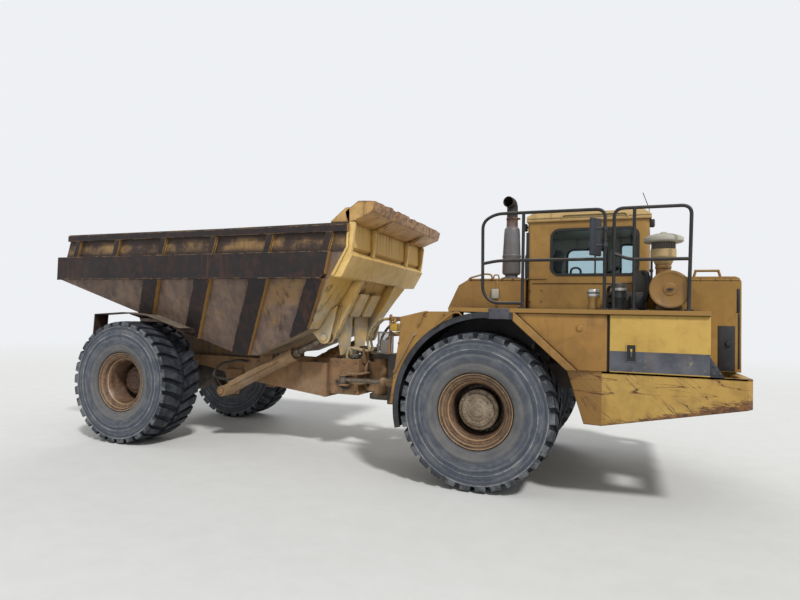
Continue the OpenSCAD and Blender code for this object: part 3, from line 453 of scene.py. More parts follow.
def make_paints():
    """The weathered finishes by name. A row has three colours, then shift, rust, dusty, painted corner shade,
    gloss, streak and chips, then what differs from the usual."""
    rows = [
        ("tool_box_paint", (208, 172, 88), (194, 156, 74), (150, 110, 50),
         0, 0.3, 0.15, 0.6, 0.42, 0.25, 0.1, dict(extra=stripe_band)),
        ("bumper_paint", (192, 156, 80), (172, 132, 58), (120, 84, 40),
         2, 0.9, 0.15, 0.6, 0.42, 0.35, 0.6,
         dict(scuffed=True, edge=0.02, reach=0.42, extra=turned_in_shade_and_wear)),
        ("hood_paint", (166, 126, 54), (146, 107, 43), (112, 76, 36), 4, 0.3, 0.2, 0.75, 0.42, 0.3, 0.15, {}),
        ("tank_paint", (170, 126, 58), (150, 108, 48), (104, 72, 36),
         5, 0.45, 0.15, 0.6, 0.42, 0.5, 0.25, dict(edge=0.016)),
        ("cab_paint", (172, 132, 65), (148, 108, 50), (104, 74, 40),
         6, 0.35, 0.25, 0.75, 0.42, 0.5, 0.25, dict(extra=pale_roof)),
        # Fender paint darkened overall: painted shade on the fenders and the rear cover
        ("fender_paint", (162, 122, 60), (138, 99, 46), (108, 74, 38),
         8, 0.55, 0.2, 0.75, 0.42, 0.55, 0.4, dict(edge=0.016)),
        ("front_wall_paint", (242, 206, 130), (226, 186, 106), (172, 130, 76),
         10, 0.7, 0.2, 0.6, 0.42, 0.45, 0.7, dict(edge=0.02, reach=0.48, extra=low_cream)),
        ("canopy_paint", (216, 174, 108), (188, 144, 86), (104, 72, 46),
         12, 1, 0.3, 0.6, 0.42, 0.7, 1, dict(edge=0.03, reach=0.42, extra=rusted_lip)),
        ("body_panel_steel", (142, 118, 100), (114, 94, 82), (66, 50, 43),
         14, 0.5, 0.2, 0.7, 0.62, 0.85, 0.5, dict(edge=0.02, extra=body_regions)),
        ("body_rail_steel", (30, 21, 21), (21, 16, 19), (84, 48, 32),
         16, 0.2, 0.08, 0.5, 0.6, 0.5, 0.5, dict(edge=0.02, extra=tan_line)),
        ("chassis_paint", (170, 130, 86), (140, 105, 74), (72, 52, 38),
         18, 0.4, 0.45, 0.85, 0.6, 0.4, 0.4, dict(low_mud=1.6)),
        ("chassis_black", (52, 46, 42), (40, 38, 38), (84, 64, 46),
         20, 0.4, 0.55, 0.5, 0.6, 0.3, 0.3, dict(low_mud=1.5)),
        ("cylinder_paint", (160, 128, 88), (134, 104, 72), (88, 66, 48),
         22, 0.4, 0.45, 0.6, 0.55, 0.3, 0.4, dict(low_mud=1.6)),
        ("rusty_mudguard", (62, 42, 34), (48, 34, 30), (92, 60, 42), 24, 0.5, 0.4, 0.5, 0.7, 0.4, 0.4, {}),
        ("mudguard_rubber", (46, 48, 54), (36, 38, 43), (84, 86, 90), 26, 0, 0.45, 0.4, 0.6, 0.6, 0, {}),
        ("rail_black", (24, 24, 26), (19, 19, 21), (70, 56, 44),
         28, 0.35, 0.3, 0.2, 0.4, 0, 0.25, dict(low_mud=0.1)),
        ("deck_plate", (66, 60, 54), (52, 48, 46), (98, 82, 60),
         30, 0.6, 0.5, 0.5, 0.6, 0, 0.5, dict(extra=deck_edges)),
        ("exhaust_steel", (112, 110, 112), (92, 86, 84), (112, 78, 58),
         32, 0.3, 0.1, 0.4, 0.4, 0.8, 0.5, dict(extra=heat_tint)),
        ("filter_paint", (162, 124, 62), (142, 104, 48), (104, 74, 42),
         34, 0.3, 0.3, 0.75, 0.42, 0.4, 0.2, dict(extra=faded_stack)),
        ("engine_iron", (92, 88, 80), (70, 66, 60), (48, 42, 36), 36, 0.4, 0.5, 0.8, 0.55, 0.3, 0.3, {}),
        ("plain_plastic", (27, 28, 31), (21, 22, 25), (60, 59, 57),
         38, 0, 0.12, 0.3, 0.5, 0.2, 0, dict(low_mud=0.1)),
        ("grey_steel", (132, 128, 120), (110, 104, 96), (90, 70, 54), 40, 0.5, 0.3, 0.6, 0.45, 0.3, 0.5, {}),
        ("cab_lining", (150, 144, 134), (126, 121, 112), (60, 56, 50), 42, 0, 0.3, 0.6, 0.65, 0, 0, {}),
        ("dark_stripe", (50, 52, 58), (41, 43, 49), (92, 94, 98), 44, 0.1, 0.3, 0.2, 0.4, 0.3, 0.5, {}),
        ("arch_rubber", (84, 83, 90), (70, 70, 76), (52, 50, 50), 45, 0, 0.4, 0.6, 0.7, 0.4, 0, {}),
        ("sooty_steel", (44, 38, 36), (34, 31, 30), (84, 60, 46), 46, 0.3, 0.1, 0.5, 0.6, 0.3, 0.4, {}),
        ("cream_plastic", (184, 180, 166), (168, 160, 142), (132, 120, 100),
         47, 0, 0.3, 0.4, 0.5, 0.3, 0, {}),
        ("mirror_back", (50, 53, 62), (38, 40, 47), (28, 28, 31), 48, 0, 0.35, 0.4, 0.5, 0.2, 0.2, {}),
    ]
    return {name: weathered(name, *values, **more) for name, *values, more in rows}


def make_rubber():
    """Sidewall rings and pale dust by the distance from the axle, dark tread."""
    made, w, into = new_material("tyre_rubber")
    reach, across = w.attribute("from_axle"), w.attribute("from_middle")
    cloud = w.clouds(0.42, 0.62, 5.0, 7.0, 0.68)
    drift = w.times(w.noise(w.here(), 1.3, 3.0), 5.0)
    rings = w.noise(w.combined(w.times(reach, 26.0), drift), 1.0, 4.0, 0.6)
    side = w.mix(cloud, (72, 79, 93), (118, 119, 121), 0.45)
    side = w.mix(w.ramp(rings, 0.45, 0.66), side, (138, 136, 132), 0.5)
    side = w.mix(w.ramp(rings, 0.5, 0.3), side, (58, 62, 72), 0.7)
    side = w.mix(w.clouds(0.3, 0.7, 40.0, 4.0, 0.7), side, (104, 101, 96), 0.2)
    side = w.mix(w.ramp(reach, 0.66, 0.52), side, (118, 112, 104), 0.4)
    # A pale line on each raised rib, painted highlight, and a darker band just inside it, painted shade
    for radius in (0.742, 0.858):
        rib = w.times(w.ramp(w.off(reach, radius), 0.006, 0.0024), w.ramp(cloud, 0.0, 1.0, 0.2, 0.65))
        side = w.mix(rib, side, (190, 190, 188))
        side = w.mix(w.ramp(w.off(reach, radius - 0.022), 0.024, 0.004), side, (66, 70, 80), 0.55)
    shoulder = w.ramp(reach, 0.862, 0.872)
    colour = w.mix(shoulder, side, w.mottled((28, 32, 40), (56, 59, 66), 0.35, 0.68, 9.0, 6.0, 0.7))
    worn = w.times(w.ramp(reach, 0.932, 0.942), w.clouds(0.4, 0.7, 6.0))
    colour = w.mix(worn, colour, (92, 93, 94), 0.45)
    lug_end = w.times(shoulder, w.ramp(across, 0.352, 0.362))
    colour = w.mix(w.times(lug_end, w.ramp(cloud, 0.0, 1.0, 0.1, 0.45)), colour, (150, 152, 154))
    # Painted shade in the tyre's corners
    corner = w.group(corner_shade, distance=0.08, amount=0.7)[0]
    w.feed(into["Base Color"], w.mix(corner, colour, (18, 19, 22)))
    into["Roughness"].default_value = 0.82
    into["Specular IOR Level"].default_value = 0.3
    ribs = w.times(w.math("SINE", w.times(reach, 420.0)), 0.12)
    w.bump(into, 0.3, 0.004, w.plus(ribs, w.grain(60.0, 4.0, 0.7)))
    return made


def make_rim_paint(name, light, dark, warm):
    """Rusty wheel paint with pale rings."""
    made, w, into = new_material(name)
    speck = w.clouds(0.5, 0.62, 30.0, 6.0, 0.75)
    colour = w.mix(speck, w.mottled(light, warm, 0.38, 0.64, 7.0, 7.0, 0.7), dark, 0.6)
    colour = w.mix(w.group(rim_rings)[0], colour, (196, 160, 118), 0.6)
    # Painted shade in the rim's corners
    colour = w.mix(w.group(corner_shade, distance=0.12, amount=0.9)[0], colour, (34, 24, 20))
    edges = w.group(worn_edges, width=0.01, reach=0.4)
    w.feed(into["Base Color"], w.mix(edges["Mask"], colour, (198, 168, 130), 0.5))
    w.feed(into["Roughness"], w.plus(0.45, w.times(speck, 0.3)))
    w.bump(into, 0.3, 0.003, w.grain(34.0, 5.0, 0.7), edges["Normal"])
    return made


def make_glass():
    """Clear glass, hazy in places."""
    made, w, into = new_material("window_glass")
    w.feed(into["Base Color"], (206, 222, 226))
    into["Transmission Weight"].default_value = 1.0
    into["IOR"].default_value = 1.2
    w.feed(into["Roughness"], w.ramp(w.noise(w.here(), 4.0, 5.0, 0.7), 0.4, 0.8, 0.02, 0.14))
    return made


def make_smooth(name, colour, second, roughness, metallic=0.0, coat=0.0, scale=14.0, bump=0.1):
    """A cleaner finish, such as chrome, a lens or hose rubber, with light clouding."""
    made, w, into = new_material(name)
    cloud = w.clouds(0.35, 0.68, scale, 5.0, 0.65)
    # Painted shade in corners
    corner = w.group(corner_shade, distance=0.05, amount=0.7)[0]
    w.feed(into["Base Color"], w.mix(corner, w.mix(cloud, colour, second), (24, 20, 17)))
    into["Metallic"].default_value = metallic
    into["Coat Weight"].default_value = coat
    w.feed(into["Roughness"], w.plus(roughness, w.times(cloud, 0.14)))
    w.bump(into, bump, 0.002, w.grain(scale * 5, 4.0, 0.6))
    return made


finishes = make_paints()
finishes["tyre_rubber"] = make_rubber()
finishes["window_glass"] = make_glass()
for name, *colours in (("rim_paint", (124, 99, 78), (54, 40, 34), (94, 69, 52)),
                       # Darker copy of the hub paint for the deep rear hub: painted shade
                       ("shaded_hub", (92, 66, 50), (44, 32, 27), (72, 48, 36)),
                       ("hub_paint", (150, 134, 112), (86, 74, 62), (118, 100, 80))):
    finishes[name] = make_rim_paint(name, *colours)
# Two colours, then roughness, metallic, coat, scale and bump
for name, *values in (
        ("rod_worn", (128, 118, 106), (92, 78, 64), 0.42, 0.6),
        ("mirror_glass", (168, 176, 184), (148, 156, 164), 0.05, 1.0),
        ("hose_rubber", (38, 37, 37), (66, 60, 54), 0.6),
        ("cream_hose", (196, 180, 142), (150, 130, 96), 0.6, 0.0, 0.0, 22.0, 0.5),
        ("window_rubber", (24, 24, 25), (40, 39, 38), 0.6),
        ("clear_lens", (214, 220, 224), (188, 194, 198), 0.08, 0.0, 1.0),
        ("amber_lens", (222, 122, 26), (196, 100, 20), 0.15, 0.0, 0.8),
        ("red_lens", (172, 26, 20), (140, 20, 16), 0.15, 0.0, 0.8),
        ("bright_cap", (206, 206, 204), (170, 168, 162), 0.3, 0.7, 0.0, 20.0),
        ("brass_fitting", (216, 176, 70), (150, 118, 66), 0.4, 0.3, 0.0, 30.0),
        ("seat_cloth", (58, 60, 66), (46, 48, 54), 0.85, 0.0, 0.0, 60.0, 0.6)):
    finishes[name] = make_smooth(name, *values)


# The CAD's nodes that stay in view beside their pieces, by finish
finish_nodes = {
    "chassis_black": "front_frame front_axle rear_axle", "chassis_paint": "hitch rear_frame",
    "engine_iron": "engine", "bumper_paint": "bumper", "hood_paint": "hood",
    "plain_plastic": "grille mirrors lamps", "tool_box_paint": "side_boxes",
    "fender_paint": "fenders rear_cover", "mudguard_rubber": "front_mudguards", "deck_plate": "deck",
    "cab_paint": "cab_shell cab_door", "window_glass": "cab_glass door_glass", "cab_lining": "cab_inside",
    "exhaust_steel": "exhaust", "filter_paint": "air_cleaner", "rail_black": "handrails ladder",
    "rusty_mudguard": "rear_mudguards", "body_panel_steel": "tub", "body_rail_steel": "tub_rails",
    "front_wall_paint": "tub_front", "canopy_paint": "canopy",
    "cylinder_paint": "hoist_barrels steer_barrel_right steer_barrel_left",
    "rod_worn": "hoist_stages hoist_rods steer_rod_right steer_rod_left",
    "tyre_rubber": "tyre_front_right tyre_front_left tyre_rear_right tyre_rear_left",
    "rim_paint": "rim_front_right rim_front_left rim_rear_right rim_rear_left"}
for finish, held in finish_nodes.items():
    for node in held.split():
        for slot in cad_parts[node].material_slots:
            slot.material = finishes[finish]


# Making pieces

box_faces = [(0, 1, 3, 2), (4, 6, 7, 5), (0, 4, 5, 1), (2, 3, 7, 6), (0, 2, 6, 4), (1, 5, 7, 3)]


def box_corners(lo, hi):
    return [(x, y, z) for x in (lo[0], hi[0]) for y in (lo[1], hi[1]) for z in (lo[2], hi[2])]


def placed(point, across, level):
    """A flat point with its third coordinate put in."""
    spot = list(point)
    spot.insert(across, level)
    return spot


def circle(count):
    """Angles of that many even steps round a full turn."""
    return [2 * math.pi * k / count for k in range(count)]


def round_rect(a0, a1, b0, b1, r):
    """Outline of a rectangle with round corners."""
    out, steps = [], 5
    for ca, cb, start in ((a1 - r, b1 - r, 0), (a0 + r, b1 - r, 90), (a0 + r, b0 + r, 180),
                          (a1 - r, b0 + r, 270)):
        out += [(ca + r * math.cos(t), cb + r * math.sin(t))
                for t in (math.radians(start + 90 * i / steps) for i in range(steps + 1))]
    return out


def rounded(points, by, steps):
    """The path along the points, its corners rounded, with some straight left in the middle of each leg."""
    points = [Vector(p) for p in points]
    path, most = [points[0]], 0.49
    for before, corner, after in zip(points, points[1:], points[2:]):
        into, out = before - corner, after - corner
        cut = min(by, into.length * most, out.length * most)
        start, end = corner + into.normalized() * cut, corner + out.normalized() * cut
        for i in range(steps + 1):
            t = i / steps
            path.append(start * (1 - t) ** 2 + corner * 2 * t * (1 - t) + end * t * t)
    path.append(points[-1])
    return path


class Piece:
    """Plain shapes gathered in one mesh, already in the part's own frame."""

    def __init__(self, name, finish, body="tractor"):
        self.name, self.finish, self.body = name, finish, body
        self.mesh = bmesh.new()

    def add(self, corners, faces):
        made = [self.mesh.verts.new(corner) for corner in corners]
        for face in faces:
            self.mesh.faces.new([made[i] for i in face])
        return made

    def soften(self, made, by):
        if by:
            edges = list(dict.fromkeys(edge for corner in made for edge in corner.link_edges))
            bmesh.ops.bevel(self.mesh, geom=edges, offset=by, offset_type="OFFSET", segments=2, profile=0.5,
                            affect="EDGES")

    def block(self, lo, hi, by=0.004, turn=None):
        """A block with softened edges, turned about its own middle."""
        lo, hi = [Vector(ends) for ends in zip(*map(sorted, zip(lo, hi)))]
        middle, half = (lo + hi) / 2, (hi - lo) / 2
        signs = box_corners((-1, -1, -1), (1, 1, 1))
        corners = [Vector((x * half.x, y * half.y, z * half.z)) for x, y, z in signs]
        corners = [middle + (turn @ corner if turn else corner) for corner in corners]
        self.soften(self.add(corners, box_faces), by)

    def plate(self, outline, across, lo, hi, by=0.0):
        """A flat outline given thickness along the axis named by across: 0 for X, 1 for Y, 2 for Z."""
        count = len(outline)
        corners = [placed(p, across, level) for level in sorted((lo, hi)) for p in outline]
        faces = [tuple(range(count)), tuple(range(2 * count - 1, count - 1, -1))]
        faces += [(i, (i + 1) % count, (i + 1) % count + count, i + count) for i in range(count)]
        self.soften(self.add(corners, faces), by)

    def ring_plate(self, outer, inner, across, lo, hi):
        """A flat ring between two outlines of as many points."""
        count = len(outer)
        up = 2 * count
        corners = [placed(p, across, level) for level in sorted((lo, hi)) for p in (*outer, *inner)]
        faces = []
        for i in range(count):
            j = (i + 1) % count
            faces += [(i, j, count + j, count + i), (up + i, up + count + i, up + count + j, up + j),
                      (i, up + i, up + j, j), (count + i, count + j, up + count + j, up + count + i)]
        self.add(corners, faces)

    def bolts(self, points, toward, radius=0.012, height=0.008):
        """Hexagon heads with washers, standing on a surface that looks toward the given direction."""
        turn = Vector(toward).to_track_quat("Z", "Y").to_euler()
        self.grow(bolts_on, points, Radius=radius, Height=height, Turn=tuple(turn))

    def rod(self, start, end, radius, sides=20):
        """A straight bar, or a hexagon nut where it has six sides."""
        start, end = Vector(start), Vector(end)
        turn = (end - start).to_track_quat("Z", "Y")
        ring = [turn @ Vector((radius * math.cos(a), radius * math.sin(a), 0)) for a in circle(sides)]
        faces = [(i, (i + 1) % sides, (i + 1) % sides + sides, i + sides) for i in range(sides)]
        faces += [tuple(range(sides)), tuple(range(2 * sides - 1, sides - 1, -1))]
        self.add([spot + step for spot in (start, end) for step in ring], faces)

    def pipe(self, points, radius, sides=12, round_by=0.06, steps=5, bore=0.0):
        """A bar or hose along the points, its corners rounded, its ends closed, or open into a bore."""
        path = rounded(points, round_by, steps)
        rings, previous, bores = [], None, []
        for i, spot in enumerate(path):
            ahead = (path[min(i + 1, len(path) - 1)] - path[max(i - 1, 0)]).normalized()
            if previous is None:
                side = ahead.orthogonal().normalized()
            else:
                side = (previous - ahead * previous.dot(ahead)).normalized()
            previous = side
            other = ahead.cross(side)
            around = [side * math.cos(a) + other * math.sin(a) for a in circle(sides)]
            rings += [spot + step * radius for step in around]
            bores += [spot + step * bore for step in around]
        faces, total, last = [], len(rings), (len(path) - 1) * sides
        for i in range(len(path) - 1):
            for k in range(sides):
                here, after = i * sides + k, i * sides + (k + 1) % sides
                faces.append((here, after, after + sides, here + sides))
                if bore:
                    faces.append((total + after, total + here, total + here + sides, total + after + sides))
        if bore:
            for k in range(sides):
                for first in (0, last):
                    here, after = first + k, first + (k + 1) % sides
                    faces.append((here, after, total + after, total + here))
        else:
            faces += [tuple(range(sides)), tuple(range(last + sides - 1, last - 1, -1))]
        self.add(rings + bores if bore else rings, faces)

    def span(self, lines):
        """Faces between each line of corners and the next; a line of one corner is a pole."""
        for here, after in zip(lines, lines[1:]):
            for k in range(max(len(here), len(after))):
                ring = list(dict.fromkeys([here[k % len(here)], here[(k + 1) % len(here)],
                                           after[(k + 1) % len(after)], after[k % len(after)]]))
                if len(ring) > 2:
                    self.mesh.faces.new(ring)

    def turned(self, profile, middle, across=1, side=1, sides=64, turn=None):
        """A closed profile of (radius, distance along the axis) spun about that axis; radius 0 is a pole."""
        first, second = [i for i in range(3) if i != across]
        lines = []
        for radius, along in profile:
            line = []
            for a in circle(sides if radius else 1):
                spot = Vector((0, 0, 0))
                spot[first], spot[second] = radius * math.cos(a), radius * math.sin(a)
                spot[across] = side * along
                line.append(self.mesh.verts.new(Vector(middle) + (turn @ spot if turn else spot)))
            lines.append(line)
        self.span(lines + lines[:1])

    def grow(self, tree, corners, faces=(), place=None, **inputs):
        """Takes in the mesh that a tree makes from one small shape, or from points."""
        data = bpy.data.meshes.new("one")
        data.from_pydata([tuple(c) for c in corners], [], faces)
        holder = bpy.data.objects.new("one", data)
        bpy.context.collection.objects.link(holder)
        change = holder.modifiers.new("copies", "NODES")
        change.node_group = tree
        inputs["Finish"] = finishes[self.finish]
        for item in tree.interface.items_tree:
            if item.in_out == "INPUT" and item.name in inputs:
                change[item.identifier] = inputs[item.name]
        ready = holder.evaluated_get(bpy.context.evaluated_depsgraph_get())
        result = bpy.data.meshes.new_from_object(ready)
        bpy.data.objects.remove(holder)
        bpy.data.meshes.remove(data)
        if place:
            result.transform(place)
        self.mesh.from_mesh(result)
        bpy.data.meshes.remove(result)

    def done(self, sharp=34):
        """The finished piece; edges that bend by more than sharp, in degrees, stay sharp."""
        bmesh.ops.remove_doubles(self.mesh, verts=self.mesh.verts, dist=1e-5)
        bmesh.ops.dissolve_degenerate(self.mesh, edges=self.mesh.edges, dist=1e-6)
        bmesh.ops.recalc_face_normals(self.mesh, faces=self.mesh.faces)
        for face in self.mesh.faces:
            face.smooth = True
        data = bpy.data.meshes.new(self.name)
        self.mesh.to_mesh(data)
        self.mesh.free()
        data.set_sharp_from_angle(angle=math.radians(sharp))
        data.materials.append(finishes[self.finish])
        made = bpy.data.objects.new(self.name, data)
        bpy.context.collection.objects.link(made)
        if self.body:
            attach(made, self.body)
        return made


# Repeats by Geometry Nodes

def copies_tree(name, build, **inputs):
    """A tree that copies a mesh onto points; build gives what the copying node takes in."""
    tree = bpy.data.node_groups.new(name, "GeometryNodeTree")
    for label, kind in (("Geometry", "Geometry"), *inputs.items(), ("Finish", "Material")):
        tree.interface.new_socket(label, in_out="INPUT", socket_type="NodeSocket" + kind)
    tree.interface.new_socket("Geometry", in_out="OUTPUT", socket_type="NodeSocketGeometry")
    w = Wiring(tree)
    given = w.node("NodeGroupInput").outputs
    copies = w.node("GeometryNodeInstanceOnPoints", build(w, given))
    real = w.node("GeometryNodeRealizeInstances", {0: copies.outputs[0]})
    paint = w.node("GeometryNodeSetMaterial", {"Geometry": real.outputs[0], "Material": given["Finish"]})
    w.node("NodeGroupOutput", {0: paint.outputs[0]})
    return tree


def in_a_ring(w, given):
    """Copies of the given mesh round the Y axis."""
    line = w.node("GeometryNodeMeshLine", {"Count": given["Count"], "Offset": (0, 0, 0)})
    angle = w.times(w.node("GeometryNodeInputIndex").outputs[0], given["Step"])
    turn = w.node("ShaderNodeCombineXYZ", {1: angle}).outputs[0]
    return {"Points": line.outputs[0], "Instance": given["Geometry"], "Rotation": turn}


def in_a_row(w, given):
    """Copies of the given mesh along a step."""
    line = w.node("GeometryNodeMeshLine", {"Count": given["Count"], "Offset": given["Step"]})
    return {"Points": line.outputs[0], "Instance": given["Geometry"]}


def as_bolts(w, given):
    """A hexagon head on a washer at each given point."""
    both = w.node("GeometryNodeJoinGeometry")
    for sides, wide, tall in ((6, 1.0, 2.0), (18, 1.7, 0.6)):
        radius, depth = w.times(given["Radius"], wide), w.times(given["Height"], tall)
        shape = w.node("GeometryNodeMeshCylinder", {"Vertices": sides, "Radius": radius, "Depth": depth})
        w.feed(both.inputs[0], shape.outputs["Mesh"])
    return {"Points": given["Geometry"], "Instance": both.outputs[0], "Rotation": given["Turn"]}


ring_of = copies_tree("ring_of_copies", in_a_ring, Count="Int", Step="Float")
row_of = copies_tree("row_of_copies", in_a_row, Count="Int", Step="Vector")
bolts_on = copies_tree("bolts_on_points", as_bolts, Radius="Float", Height="Float", Turn="Vector")


# Wheels

wheels = [(end, side, x, sign) for end, x in (("front", fx(0)), ("rear", rx(0)))
          for side, sign in (("right", -1), ("left", 1))]
axle_height, half_track = 0.945, 1.36
lug_pairs = 30


def lug():
    """One curved tread bar from the shoulder to near the middle: corners and faces about the Y axis.
    A station has its distance across, foot and top radius, and middle and half width in degrees."""
    stations = [(0.3735, 0.868, 0.908, 0.0, 3.7), (0.366, 0.862, 0.929, 0.1, 3.8),
                (0.33, 0.87, 0.939, 0.5, 3.9), (0.22, 0.88, 0.9435, 2.4, 3.5), (0.13, 0.88, 0.9435, 5.0, 3.3),
                (0.035, 0.88, 0.9435, 7.6, 2.9)]
    corners, faces, flank = [], [], 0.7
    for across, low, high, middle, half in stations:
        for radius, angle in ((low, middle - half - flank), (high, middle - half), (high, middle + half),
                              (low, middle + half + flank)):
            a = math.radians(angle)
            corners.append((radius * math.sin(a), across, radius * math.cos(a)))
    for i in range(len(stations) - 1):
        for k in range(4):
            faces.append((4 * i + k, 4 * i + (k + 1) % 4, 4 * i + 4 + (k + 1) % 4, 4 * i + 4 + k))
    last = 4 * (len(stations) - 1)
    faces += [(0, 3, 2, 1), (last, last + 1, last + 2, last + 3)]
    return corners, faces


def mark_distances(made, x, sign):
    """Keeps each corner's distance from the axle and from the wheel's middle for the finish."""
    data = made.data
    far = data.attributes.new("from_axle", "FLOAT", "POINT")
    wide = data.attributes.new("from_middle", "FLOAT", "POINT")
    for i, corner in enumerate(data.vertices):
        far.data[i].value = math.hypot(corner.co.x - x, corner.co.z - axle_height)
        wide.data[i].value = abs(corner.co.y - sign * half_track)


def make_tyre(end, side, x, sign):
    piece = Piece(f"tread_tyre_{end}_{side}", "tyre_rubber", f"wheel_{end}_{side}")
    half = [(0.462, 0.292), (0.462, 0.318), (0.468, 0.338), (0.486, 0.352), (0.52, 0.362), (0.58, 0.370),
            (0.655, 0.3725), (0.732, 0.3725), (0.738, 0.3728), (0.746, 0.3728), (0.752, 0.371), (0.80, 0.368),
            (0.846, 0.364), (0.852, 0.366), (0.864, 0.366), (0.87, 0.361), (0.882, 0.345), (0.894, 0.31),
            (0.902, 0.22), (0.904, 0.1)]
    profile = half + [(r, -a) for r, a in reversed(half)]
    piece.turned(profile, (x, sign * half_track, axle_height), sides=120)
    corners, faces = lug()
    middle = Matrix.Translation((x, sign * half_track, axle_height))
    piece.grow(ring_of, corners, faces, middle, Count=lug_pairs, Step=2 * math.pi / lug_pairs)
    piece.grow(ring_of, [(cx, -cy, cz) for cx, cy, cz in corners], [face[::-1] for face in faces],
               middle @ Matrix.Rotation(math.pi / lug_pairs, 4, "Y"), Count=lug_pairs,
               Step=2 * math.pi / lug_pairs)
    made = piece.done(28)
    mark_distances(made, x, sign)
    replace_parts(made, f"tyre_{end}_{side}")


def studs(piece, x, sign, count, radius, outward, size, length):
    """A circle of hexagon nuts about a wheel's axle."""
    corners = [(size * math.cos(a), level, radius + size * math.sin(a)) for level in (0, length)
               for a in circle(6)]
    faces = [(k, (k + 1) % 6, (k + 1) % 6 + 6, k + 6) for k in range(6)]
    faces += [(5, 4, 3, 2, 1, 0), (6, 7, 8, 9, 10, 11)]
    middle = Matrix.Translation((x, sign * (half_track + outward), axle_height))
    piece.grow(ring_of, corners, faces, middle @ Matrix.Scale(sign, 4, (0, 1, 0)), Count=count,
               Step=2 * math.pi / count)


def make_rim(end, side, x, sign):
    """Flange, lock ring and bowl of the wheel, with its hub as a separate piece."""
    front = end == "front"
    middle = (x, sign * half_track, axle_height)
    body = f"wheel_{end}_{side}"
    rim = Piece(f"wheel_rim_{end}_{side}", "rim_paint", body)
    deep = 0.04 if front else -0.16
    rim.turned([(0.457, 0.285), (0.457, 0.317), (0.449, 0.323), (0.440, 0.321), (0.437, 0.309),
                (0.425, 0.306), (0.421, 0.314), (0.410, 0.316), (0.405, 0.306), (0.400, 0.290),
                (0.392, 0.287), (0.388, 0.296), (0.376, 0.296), (0.368, 0.270), (0.352, 0.235),
                (0.334, 0.215), (0.322, 0.19), (0.318, deep), (0.302, deep - 0.02), (0.302, -0.20),
                (0.112, -0.20), (0.112, -0.31), (0.22, -0.31), (0.22, -0.22), (0.415, -0.20), (0.415, -0.29),
                (0.425, -0.305), (0.437, -0.317), (0.457, -0.317), (0.457, -0.295), (0.43, -0.285),
                (0.43, 0.27)], middle, side=sign, sides=96)
    mark_distances(rim.done(30), x, sign)
    # The rear hub, deep in the wheel, takes the darker copy of the hub paint: painted shade
    hub = Piece(f"wheel_hub_{end}_{side}", "hub_paint" if front else "shaded_hub", body)
    if front:
        hub.turned([(0, 0.196), (0.075, 0.196), (0.088, 0.188), (0.125, 0.186), (0.134, 0.178), (0.19, 0.176),
                    (0.197, 0.170), (0.199, 0.150), (0.226, 0.146), (0.243, 0.138), (0.252, 0.12),
                    (0.254, -0.03), (0.303, -0.04), (0.303, -0.19), (0.11, -0.19), (0.11, 0.1), (0, 0.12)],
                   middle, side=sign, sides=96)
        studs(hub, x, sign, 24, 0.162, 0.170, 0.010, 0.014)
        studs(hub, x, sign, 12, 0.222, 0.142, 0.012, 0.016)
        studs(hub, x, sign, 24, 0.283, -0.05, 0.014, 0.03)
    else:
        hub.turned([(0, 0.05), (0.07, 0.05), (0.08, 0.04), (0.15, 0.036), (0.16, 0.02), (0.205, 0.015),
                    (0.21, 0.0), (0.212, -0.12), (0.303, -0.125), (0.303, -0.205), (0.11, -0.205),
                    (0.11, -0.02), (0, 0.0)], middle, side=sign, sides=96)
        studs(hub, x, sign, 24, 0.262, -0.13, 0.015, 0.035)
        studs(hub, x, sign, 12, 0.182, 0.014, 0.012, 0.018)
    made = hub.done(30)
    mark_distances(made, x, sign)
    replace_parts(made, f"rim_{end}_{side}")


for wheel in wheels:
    make_tyre(*wheel)
    make_rim(*wheel)


# Rails, mirrors, exhaust and air cleaner

deck_top, landing_top, post_y = 2.1803, 1.9003, 1.64


def make_handrails():
    piece = Piece("handrail_bars", "rail_black")
    top, middle, low = 3.305, 2.745, 2.242
    loop = [(200, top), (46, top - 0.09), (58, low + 0.12), (170, low)]
    front = [(2292, top), (2268, deck_top)]
    bars = [(-1, [(1430, deck_top), (1430, top), *loop, (530, low)]), (-1, [(530, deck_top), (530, top)]),
            (-1, [(52, middle - 0.035), (238, middle), (1430, middle)]),
            (-1, [(1525, deck_top), (1525, top), *front]), (-1, [(1732, deck_top), (1732, top)]),
            (-1, [(2279, middle - 0.01), (1690, middle - 0.01), (1525, middle + 0.055)]),
            (1, [(400, deck_top), (400, top), *loop, (400, low)]),
            (1, [(52, middle - 0.035), (238, middle), (400, middle)]),
            (1, [(800, landing_top), (800, middle + 0.215), (960, middle + 0.215), (960, landing_top)]),
            (1, [(800, middle - 0.28), (960, middle - 0.28)]), (1, [(2050, deck_top), (2050, top), *front]),
            (1, [(2050, middle), (2279, middle)])]
    for side, points in bars:
        piece.pipe([(fx(x), side * post_y, z) for x, z in points], 0.019, round_by=0.1, steps=7)
    feet = [(-1, x, deck_top) for x in (530, 1430, 1525, 1732, 2268)]
    feet += [(1, x, deck_top) for x in (400, 2050, 2268)] + [(1, x, landing_top) for x in (800, 960)]
    half_length, half_width, thick = 0.042, 0.038, 0.012
    for side, x, level in feet:
        middle = Vector((fx(x), side * post_y, level))
        piece.block(middle - Vector((half_length, half_width, 0)),
                    middle + Vector((half_length, half_width, thick)), 0.003)
        piece.bolts([middle + Vector((dx, dy, thick)) for dx in (-0.029, 0.029) for dy in (-0.025, 0.025)],
                    (0, 0, 1), 0.007, 0.006)
    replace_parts(piece.done(), "handrails")


